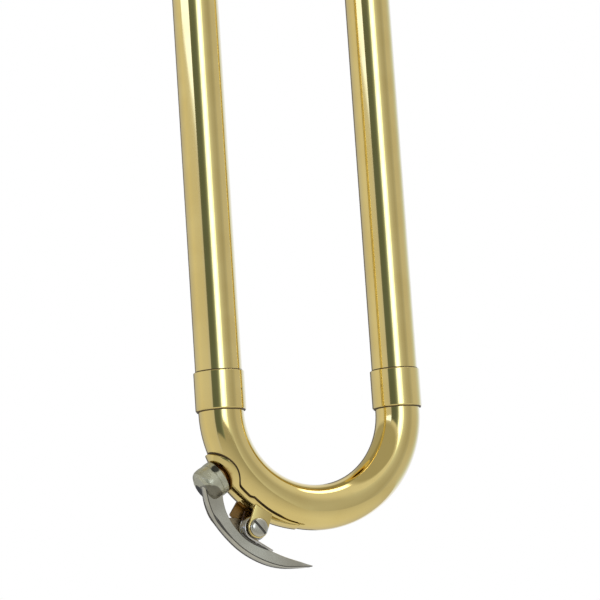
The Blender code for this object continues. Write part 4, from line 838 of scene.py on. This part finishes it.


# Rings across the plate: over its back, eased by a quarter circle at both sides, and home along
# its bore, all wrapped round the bow's tube. With grow and lift they make the dark line round it,
# painted shade of the gap between plate and bow.
def plateRings(grow=0.0, lift=None):
    reach, count, hair = key["padReach"] + grow, key["columns"], key["hair"]
    arc = np.cos(np.radians(np.arange(*key["headArc"])))
    head = key["nippleTurn"] - math.degrees(reach / bowReach) * arc
    turns = np.concatenate([head, np.linspace(head[-1], key["tailTurn"], key["rings"])[1:]])
    bore = key["tube"] + hair if lift else key["plateBore"]
    across = np.linspace(-1, 1, count)
    rings = []
    for turn in turns:
        share = (turn - key["nippleTurn"]) * key["padReach"] / reach
        wide = plateHalf(key["nippleTurn"] + share if turn < key["nippleTurn"] else turn)
        wide += grow * float(np.interp(turn, key["seamFade"], (1, 0)))
        thin = np.clip((turn - key["thinFrom"]) / (key["tailTurn"] - key["thinFrom"]), 0, 1)
        back = key["plateBack"] - thin * (key["plateBack"] - key["plateBore"] - key["thin"])
        over = np.stack([across * wide, np.full(count, key["tube"] + lift if lift else back)], 1)
        edge = wide - np.abs(over[:, 0])
        ease = min(key["ease"], 0.4 * (over[0, 1] - bore))
        drop = ease - np.sqrt(np.maximum(ease ** 2 - (ease - edge) ** 2, 0))
        over[:, 1] -= np.where(edge < ease, drop, 0)
        under = np.stack([across[::-1] * (wide - hair), np.full(count, bore)], 1)
        ring = np.vstack([over, under])
        sweep = ring[:, 0] / key["plateBack"]
        rings.append(onBow(turn, bowRadius + ring[:, 1] * np.cos(sweep),
                           ring[:, 1] * np.sin(sweep)))
    return rings


# Ear: from the plate up to half a circle round the pivot, and down its heel
def earOutline(lean, corner=None):
    seat = math.sqrt(key["plateBore"] ** 2 - (key["earGap"] / 2) ** 2)
    reach = bowRadius + seat + key["earSink"]
    outline = [(*flatOnBow(key["pivotTurn"] - lean, reach), 0.0002)]
    if corner:
        turn, height, ease = corner
        outline.append((*flatOnBow(key["pivotTurn"] - turn, bowReach + height), ease))
    outline += pivotArc(key["earRadius"], 180, 360)
    outline.append((*flatOnBow(key["pivotTurn"] + key["earHeel"], reach), 0.0002))
    return rounded(outline)


# Brown painted shade round the nipple, under and beside the cup: metres from its axis
paintedShadeSpots = {"centre": tuple(bowCentre), "axis": tuple(cupWay), "from": 0.0050, "to": 0.0058,
         "ragged": 0.0008, "colour": (.42, .25, .075)}
brassPlate = makeFinish("stainedBrass", "lacqueredBrass", paintedShadeSpots=[paintedShadeSpots])


# Plate joined from its rings, two flat ears beside it, and wider, lower rings as a dark line round
# it, painted shade of the gap between plate and bow
def makeSaddle(values):
    near, y = values["earGap"] / 2, bowCentre[1]
    face = near + values["earThick"]
    nearEar = plateShell(earOutline(values["earLean"]), y - face, y - near, values["earEase"])
    addPiece("waterKeySaddle", [loftShell(plateRings()), nearEar], brassPlate, "outer_slide",
             ["water_key_saddle"])
    # The far ear takes the dark bare brass: painted shade, darker than the lit near ear, on
    # tarnished brass
    farEar = plateShell(earOutline(values["farLean"], values["farCorner"]), y + near, y + face)
    addPiece("waterKeySaddleFarEar", farEar, brassBareAndShade, "outer_slide")
    shadeShell = loftShell(plateRings(values["seamWidth"], values["seamHeight"]))
    addPiece("waterKeySaddleSeam", shadeShell, brassPaintedShade, "outer_slide")


makeSaddle(key)

# Nipple: rows of (radius, height over the plate, corner), and its bore
nipple = {
    "outside": [(0.0036, 0, 0.0003), (0.0031, 0.0004, 0.0003), (0.00275, 0.0010, 0.00012)],
    "bore": 0.0015, "boreEase": 0.00008,
    "end": 0.0058,         # reach of its lower end from the middle of the bow's tube
    "drape": 0.001,        # height over which the foot takes on the plate's curve
}


# The seat is the depth of the plate's round back under each place, in full at the foot
def makeNipple(values):
    back, bore = key["plateBack"], values["bore"]
    rows = [(r, bowRadius + back + height, ease) for r, height, ease in values["outside"]]
    top = rows[-1][1]
    rows += [(bore, top, values["boreEase"]), (bore, bowRadius + values["end"])]

    def drape(radius, turn, height):
        seat = np.sqrt(back ** 2 - (radius * np.sin(turn)) ** 2) - back
        share = np.clip((top - height) / values["drape"], 0, 1)
        return radius, height + seat * share

    shell = turnedShell(rounded(rows), bowCentre, outWay, 72, drape)
    addPiece("waterKeyNipple", shell, brassBareAndShade, "outer_slide", ["water_key_nipple"])


makeNipple(nipple)

screw = {
    "shank": 0.0011, "head": 0.0027, "tall": 0.0010, "gap": 0.0002, "chamfer": 0.0002,
    # share of the head's radius, share of its height, corner
    "dome": [(0, 1), (.35, .99), (.60, .94), (.78, .83), (.91, .66), (.985, .42),
             (1, .22, 0.00008), (.97, 0, 0.00006)],
    # slot: width, depth and turn; reach of the cut and half length of the dark slip of painted
    # shade on its floor, as shares of the head's radius
    "slot": 0.0007, "deep": 0.00055, "turn": 50.0, "reach": 1.4, "floorHalf": .93,
}


# Turned round the pivot; the slot is cut by a box, and a dark slip on its floor is painted shade
def makeScrew(values):
    face = key["earGap"] / 2 + key["earThick"]
    low = -face - values["gap"]
    tall, head, shank = values["tall"], values["head"], values["shank"]
    rows = [(share * head, low - lift * tall, *ease) for share, lift, *ease in values["dome"]]
    rows += [(shank, low, 0.00004), (shank, face - values["chamfer"], 0.00008),
             (shank - values["chamfer"], face), (0, face)]
    shell = turnedShell(rounded(rows, False), pivotPlace, (0, 1, 0), 80, closed=False)
    item = addPiece("pivotScrew", shell, nickelSatin, "outer_slide", ["pivot_screw"], 30)
    half, reach, floor = values["slot"] / 2, values["reach"] * head, low - tall + values["deep"]
    turn = np.array(Matrix.Rotation(math.radians(values["turn"]), 3, "Y"))
    points, faces = box(-reach, reach, low - 2 * tall, floor, -half, half)
    carve(item, (points @ turn.T + pivotPlace, faces), 30)
    reach = values["floorHalf"] * head
    points, faces = box(-reach, reach, floor - 0.00008, floor + 0.0001, -half, half)
    addPiece("pivotScrewSlot", (points @ turn.T + pivotPlace, faces), nickelPaintedShade, "outer_slide")


makeScrew(screw)

# Lever rows: degrees, inner and outer height over the bow's outside, half width, y shift
lever = {
    "rows": [(30.9, 0.0048, 0.0071, 0.0014, -0.0013), (33.4, 0.0040, 0.0077, 0.0016, -0.0009),
             (37, 0.0032, 0.0087, 0.0018, -0.0003), (41, 0.0047, 0.0097, 0.0018, 0),
             (45.5, 0.0064, 0.0104, 0.0018, 0), (52, 0.0080, 0.0113, 0.0019, 0),
             (59, 0.0088, 0.0121, 0.0021, 0), (67, 0.0087, 0.0124, 0.0025, 0),
             (74, 0.0091, 0.0122, 0.0026, 0), (80.5, 0.0095, 0.0113, 0.0021, 0),
             (85.8, 0.0101, 0.0105, 0.0008, 0)],
    "groove": 0.00010,     # fine line between the flat side and the rounded outer face
    # dark lines, each (degrees, radius): painted shade in the near and far groove, a dark line on
    # the crown, and the spring tail's painted shadow on the inner edge
    "nearLine": [(30.9, 0.00013), (41, 0.00013), (44, 0.00040), (47, 0.00034), (53, 0.00016),
                 (85.8, 0.00013)],
    "farLine": [(30.9, 0.00021), (85.8, 0.00021)],
    "crownLine": [(36, 0.00006), (39, 0.00020), (43, 0.00026), (46, 0.00008)],
    "springLine": [(53, 0.00008), (55, 0.00036), (65, 0.00034), (68.5, 0.00012)],
    "crownSpan": (36, 46), "springSpan": (53, 68.5),
    "crown": 0.00045,      # how far the outer face swells
    "ease": 0.00022,
    "tip": 0.0005,
    "knuckle": 0.0019, "play": 0.0002, "lugWall": 0.0008, "lugWide": 0.0012, "lugLap": 0.00015,
    "lugEdge": [(53.6, 0.0036), (50.6, 0.0042), (48.4, 0.0054), (48.8, 0.0074), (51.0, 0.0088),
                (53.5, 0.0098), (57.0, 0.0100), (63.4, 0.0098)],
}
# Cup rows from the crown down: radius, height over the bow's outside, corner
cup = {
    "outside": [(0, 0.00695), (0.0014, 0.00695), (0.0036, 0.00692, 0.0002),
                (0.0046, 0.00635, 0.0004), (0.00494, 0.00560, 0.0006),
                (0.00504, 0.00455, 0.0006), (0.00500, 0.00285, 0.00004),
                (0.00490, 0.00280, 0.00003), (0.00490, 0.00268, 0.00003),
                (0.00512, 0.00258, 0.00008), (0.00512, 0.00095, 0.00018)],
    "wall": 0.00075, "floor": 0.0052,
}
# Painted shade and painted reflections on the cup: below the arm, on its side, and on the band
# next to the plate. A place is degrees, height over the bow's outside and y.
cupPaintedShade = [
    {"place": (38.5, 0.0112), "axis": (0, 1, 0), "from": 0.0077, "to": 0.0081,
     "ragged": 0.0006, "colour": (.22, .205, .15)},
    {"place": (31.7, 0.0069, 0.0021), "from": 0.0019, "to": 0.0023, "ragged": 0.0008,
     "colour": (.012, .012, .011)},
    {"place": (26.6, 0.0018, -0.0042), "from": 0.0012, "to": 0.0018, "ragged": 0.0005,
     "colour": (.05, .05, .04)},
]
for spot in cupPaintedShade:
    turn, height, *y = spot["place"]
    spot["centre"] = tuple(onBow(turn, bowReach + height, *y))
nickelCupPaintedShade = makeFinish("cupNickel", "cupNickel", paintedShadeSpots=cupPaintedShade)


# Section of the lever: flat sides, a fine groove, and a crowned outer face
def leverSection(low, high, half):
    ease = min(lever["ease"], 0.2 * (high - low), 0.25 * half)
    rise = min(lever["crown"], 0.3 * (high - low))
    dip = min(lever["groove"], 0.3 * rise)
    one = [(-half, low, ease), (-half, high - rise - dip, dip / 3),
           (-half + dip, high - rise, dip / 3), (-half, high - rise + dip, dip / 3),
           (-0.6 * half, high - 0.25 * rise, 0.3 * half), (0, high, 0.3 * half)]
    other = [(-y, z, r) for y, z, r in reversed(one[:-1])]
    return rounded(one + other, True, 3)


# Sections along the smooth rows; both tips shrink by the cosine as they go out by the sine
def leverShell(values):
    rings = []
    for turn, low, high, half, shift in smoothRows(values["rows"], 8):
        ring = leverSection(low, high, half)
        rings.append(onBow(turn, bowReach + ring[:, 1], ring[:, 0] + shift))
    ends = []
    for first, second in ((rings[0], rings[3]), (rings[-1], rings[-4])):
        middle = first.mean(axis=0)
        ahead = middle - second.mean(axis=0)
        ahead /= np.linalg.norm(ahead)
        ends.append([middle + (first - middle) * math.cos(a) + ahead * values["tip"] * math.sin(a)
                     for a in np.radians((30, 55, 75))])
    return loftShell(ends[0][::-1] + rings + ends[1])


# Dark lines of painted shade laid as thin wires along the lever, at a share of its half width
def leverLines(values):
    turn, under, over, wide, shift = smoothRows(values["rows"], 8).T
    rise = np.minimum(values["crown"], 0.3 * (over - under))
    lines = []
    for start, end, level, share, thick in (
            (0, 90, over - rise, -1, values["nearLine"]),
            (0, 90, over - rise, 1, values["farLine"]),
            (*values["crownSpan"], over - 0.2 * rise, 0.55, values["crownLine"]),
            (*values["springSpan"], under - 0.0001, -1, values["springLine"])):
        kept = (turn >= start) & (turn <= end)
        line = onBow(turn[kept], bowReach + level[kept], (shift + share * wide)[kept])
        lines.append(sweptShell(line, np.interp(turn[kept], *zip(*thick)), 10))
    return lines


# Lever and its lines, the lug with a round cut for the knuckle, and knuckle and cup turned on
# the pivot's and the cup's axis
def makeKey(values):
    addPiece("waterKeyLever", leverShell(values), nickelSatin, "water_key",
             ["water_key_lever"], 28)
    addPiece("waterKeyLeverLines", leverLines(values), nickelPaintedShade, "water_key")
    across, knuckle, y = (0, 1, 0), values["knuckle"], bowCentre[1]
    half = key["earGap"] / 2 - values["play"]
    lug = pivotArc(knuckle + values["lugWall"], 0, 180)
    lug += [flatOnBow(turn, bowReach + lift) for turn, lift in values["lugEdge"]]
    plate = plateShell(lug, y + half - values["lugWide"] - values["lugLap"], y + half)
    # The lug's dark brown is painted shade, with the brass's reflection painted in
    lugPiece = addPiece("waterKeyLug", plate, lugShadeNickel, "water_key")
    core = knuckle - 0.0001
    carve(lugPiece, turnedShell([(core, -0.01), (core, 0.01), (0, 0.01), (0, -0.01)], pivotPlace,
                                across, 64))
    hole, end = screw["shank"] + values["play"], half - 0.0001
    sleeve = rounded([(knuckle, -half, 0.00012), (knuckle, end, 0.00012), (hole, end, 0.00006),
                      (hole, -half, 0.00006)])
    addPiece("waterKeyKnuckle", turnedShell(sleeve, pivotPlace, across, 64), nickelCast,
             "water_key")
    inner, rim = cup["outside"][-1][0] - cup["wall"], cup["outside"][-1][1]
    outline = [(r, bowReach + h, *ease) for r, h, *ease in cup["outside"]]
    outline += [(inner, bowReach + rim, 0.00012), (inner, bowReach + cup["floor"], 0.0002),
                (0, bowReach + cup["floor"])]
    shell = turnedShell(rounded(outline, False), bowCentre, cupWay, 128, closed=False)
    addPiece("waterKeyCup", shell, nickelCupPaintedShade, "water_key")


makeKey(lever)

# Cork pad, glued in the cup
cork = {"gap": 0.00015, "ease": 0.0003, "lift": 0.0013}


# Cylinder on the cup's axis, from over the plate to the cup's floor
def makeCork(values):
    low = bowRadius + key["plateBack"] + values["lift"]
    high = bowReach + cup["floor"] - values["gap"]
    wide, ease = cup["outside"][-1][0] - cup["wall"] - values["gap"], values["ease"]
    profile = rounded([(0, low), (wide, low, ease), (wide, high, ease), (0, high)], False)
    addPiece("waterKeyCork", turnedShell(profile, bowCentre, cupWay, 72, closed=False), corkPad,
             "water_key", ["water_key_cork"])


makeCork(cork)

# Torsion spring: straight leg on the saddle, coil round the knuckle, tail along the lever
spring = {"wire": 0.00038, "turns": 3, "pitch": 0.00124, "footTurn": 6.4, "tailTurn": 9.9,
          "tailReach": 0.0092, "clear": 0.00025, "stand": 0.0002, "pointsPerTurn": 48,
          "legPoints": 12}
# Painted shade on the spring: the wire near-black within 3 to 4 mm of its foot, beside the near
# ear
springFootShade = {"from": 0.0030, "to": 0.0040, "ragged": 0.0006, "colour": (.06, .035, .02)}


# Helix between the two tangents that the legs' ends make with the coil's circle
def makeSpring(values):
    wire, middle = values["wire"], key["pivotTurn"]
    stand = wire + values["stand"]
    startY = key["earGap"] / 2 - lever["play"] - lever["lugWide"] - stand
    coilRadius = pivotReach - bowRadius - key["plateBack"] - wire - values["clear"]
    footReach = bowRadius + math.sqrt(key["plateBack"] ** 2 - startY ** 2) + stand
    tailReach = bowReach + values["tailReach"] - stand
    leg = onBow(middle - values["footTurn"], footReach) - pivotPlace
    tail = onBow(middle + values["tailTurn"], tailReach) - pivotPlace

    def tangent(place, sign):
        lean = math.acos(coilRadius / math.hypot(place[0], place[2]))
        return (math.atan2(place[2], place[0]) + sign * lean) % (2 * math.pi)

    first, last = tangent(leg, 1), tangent(tail, -1)
    last += 2 * math.pi if last < first else 0
    sweep = last - first + 2 * math.pi * values["turns"]
    rounds = sweep / (2 * math.pi)
    share = np.linspace(0, 1, round(values["pointsPerTurn"] * rounds))
    endY = startY - values["pitch"] * rounds
    angle = first + sweep * share
    coil = np.stack([coilRadius * np.cos(angle), startY + (endY - startY) * share,
                     coilRadius * np.sin(angle)], axis=1)
    start = np.array((leg[0], startY, leg[2]))
    end = np.array((tail[0], endY, tail[2]))
    part = np.linspace(0, 1, values["legPoints"])[:, None]
    path = np.vstack([start + (coil[0] - start) * part[:-1], coil,
                      coil[-1] + (end - coil[-1]) * part[1:]])
    spot = {"centre": tuple(start + pivotPlace), **springFootShade}
    steelWire = makeFinish("springSteel", "springSteel", paintedShadeSpots=[spot])
    item = addPiece("waterKeySpring", sweptShell(path + pivotPlace, wire, 16), steelWire, None,
                    ["water_key_spring"], 60)
    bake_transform(item)


makeSpring(spring)
print("water key made")

# Braces: a turned bar between two cast feet that hug their tubes
fromEnd, fromMiddle = 0, 1
brace = {
    "bar": [(0, fromEnd, 0, 0), (0.0031, fromEnd, 0, 0.0001), (0.0031, fromEnd, 0.009, 0.0005),
            (0.0027, fromEnd, 0.0101, 0.0006), (0.0027, fromMiddle, -0.0016, 0.0004),
            (0.0031, fromMiddle, -0.0009, 0.0004), (0.0031, fromMiddle, 0, 0)],
    # foot: radius, height over its tube, corner
    "foot": [(0.00325, 0.00015, 0.0001), (0.0056, 0.00015, 0.0001), (0.0056, 0.0009, 0.00035),
             (0.0048, 0.0018, 0.0006), (0.0043, 0.0031, 0.0005), (0.0043, 0.006, 0.00035),
             (0.00325, 0.006, 0.0001)],
    "socket": 0.006, "thick": 0.0009, "gap": 0.0003,
}
braceSets = [   # (node stem, body, start radius, end radius, axis)
    ("outer_brace", "outer_slide", 0.00725, 0.00725, 0),
    ("inner_brace", "inner_slide", 0.0088, 0.0088, 0),
    ("lower_bell_brace", "bell_section", 0.0069, None, 1),
    ("upper_bell_brace", "bell_section", 0.0069, 0.0069, 1),
]


# Outline of a bar from one end to its middle, carried on to the other
def barOutline(rows, size):
    half = rounded([(radius, (0, size / 2)[origin] + lift, ease)
                    for radius, origin, lift, ease in rows], False)
    return mirrored(half, size)


# Foot whose seat follows a tube of that radius that crosses the brace: each place sinks by the
# tube's fall beside its line, less and less towards the collar
def footShell(tube, centre, axis, values):
    profile = rounded([(radius, tube + height, ease) for radius, height, ease in values["foot"]])
    upward = axisTurn(axis).T @ np.array((0, 0, 1.0))
    lead, flange = math.atan2(upward[1], upward[0]), tube + values["thick"]

    def hug(radius, angle, height):
        away = radius * np.sin(angle - lead)
        seat = np.sqrt(np.maximum(tube ** 2 - away ** 2, 0)) - tube
        rise = (height - flange) / (values["socket"] - 2 * values["thick"])
        share = np.clip(1 - rise, 0, 1)
        return radius, height + seat * np.where(height < flange, 1, share ** 1.5)

    return turnedShell(profile, centre, axis, 72, hug)


# The bar turned on its box's axis, and a foot on each tube's middle line
def makeBraces(values):
    for stem, body, startTube, endTube, axis in braceSets:
        low, high, middle = span(stem + "_bar")
        way = np.eye(3)[axis]
        if endTube is None:            # the bell's throat, taken from the foot that sits on it
            endTube = -span(stem + "_foot_b")[0][axis] - values["socket"]
        barStart, start, end = middle.copy(), middle.copy(), middle.copy()
        barStart[axis] = low[axis]
        start[axis] = low[axis] - startTube - values["gap"]
        end[axis] = high[axis] + endTube + values["gap"]
        profile = barOutline(values["bar"], high[axis] - low[axis])
        shell = turnedShell(profile, barStart, way, 72, closed=False)
        feet = [("_foot_a", footShell(startTube, start, way, values)),
                ("_foot_b", footShell(endTube, end, -way, values))]
        for ending, shell in [("_bar", shell), *feet]:
            addPiece(pieceName(stem + ending), shell, nickelCast, body, [stem + ending])


makeBraces(brace)

# Tuning brace: one bar whose ends spread on the legs
tuningBrace = {
    "radius": 0.0022,
    "ends": [(0.00096, 0.0003), (0.00264, 0.001), (0.0036, 0.001)],  # (height, corner)
    "spread": 0.0003, "bead": 0.0006, "beadFrom": (-0.004, 0.0006), "beadTo": (-0.0025, 0.0008),
}


# Turned along Y, by the length and radius of its box
def makeTuningBrace(values):
    low, high, middle = span("tuning_brace")
    wide, slim = (high[0] - low[0]) / 2, values["radius"]
    bead = slim + values["bead"]
    (first, a), (second, b), (third, c) = values["ends"]
    rows = [(0, fromEnd, 0, 0), (wide, fromEnd, 0, 0.0001), (wide, fromEnd, first, a),
            (slim + values["spread"], fromEnd, second, b), (slim, fromEnd, third, c),
            (slim, fromMiddle, *values["beadFrom"]), (bead, fromMiddle, *values["beadTo"]),
            (bead, fromMiddle, 0, 0)]
    shell = turnedShell(barOutline(rows, high[1] - low[1]), (middle[0], low[1], middle[2]),
                        (0, 1, 0), 64, closed=False)
    addPiece("tuningBrace", shell, nickelCast, "tuning_slide", ["tuning_brace"])


makeTuningBrace(tuningBrace)
print("braces made")

# Floor, pale and plain, well under the slide at its longest, and soft light from above
room = {"floor": -1.40, "size": 8.0, "colour": (.86, .86, .85), "shade": 0.98, "power": 14.0,
        "lampSize": 1.6, "lampPlace": (0.5, -0.8, 1.5)}


def makeRoom(values):
    mesh = bpy.data.meshes.new("floor")
    s = values["size"]
    mesh.from_pydata([(-s, -s, 0), (s, -s, 0), (s, s, 0), (-s, s, 0)], [], [(0, 1, 2, 3)])
    item = bpy.data.objects.new("floor", mesh)
    item.location = (0, 0, values["floor"])
    scene.collection.objects.link(item)
    paint = bpy.data.materials.new("paleFloor")
    paint.use_nodes = True
    tree = paint.node_tree
    tree.nodes.clear()
    place = addNode(tree, "TexCoord").outputs["Object"]
    cloud = addNode(tree, "TexNoise", {"Vector": place, "Scale": 3.0, "Detail": 2.0})
    base = values["colour"]
    second = (*(c * values["shade"] for c in base), 1)
    colour = blendColour(tree, cloud.outputs["Fac"], (*base, 1), second)
    shade = addNode(tree, "BsdfPrincipled", {"Base Color": colour, "Roughness": 0.8})
    tree.links.new(shade.outputs[0], addNode(tree, "OutputMaterial").inputs["Surface"])
    mesh.materials.append(paint)
    item.visible_glossy = False
    data = bpy.data.lights.new("softTop", "AREA")
    data.shape = "DISK"
    data.size = values["lampSize"]
    data.energy = values["power"]
    lamp = bpy.data.objects.new("softTop", data)
    lamp.location = values["lampPlace"]
    lamp.rotation_euler = (-Vector(lamp.location)).to_track_quat("-Z", "Y").to_euler()
    lamp.visible_glossy = False
    scene.collection.objects.link(lamp)


makeRoom(room)
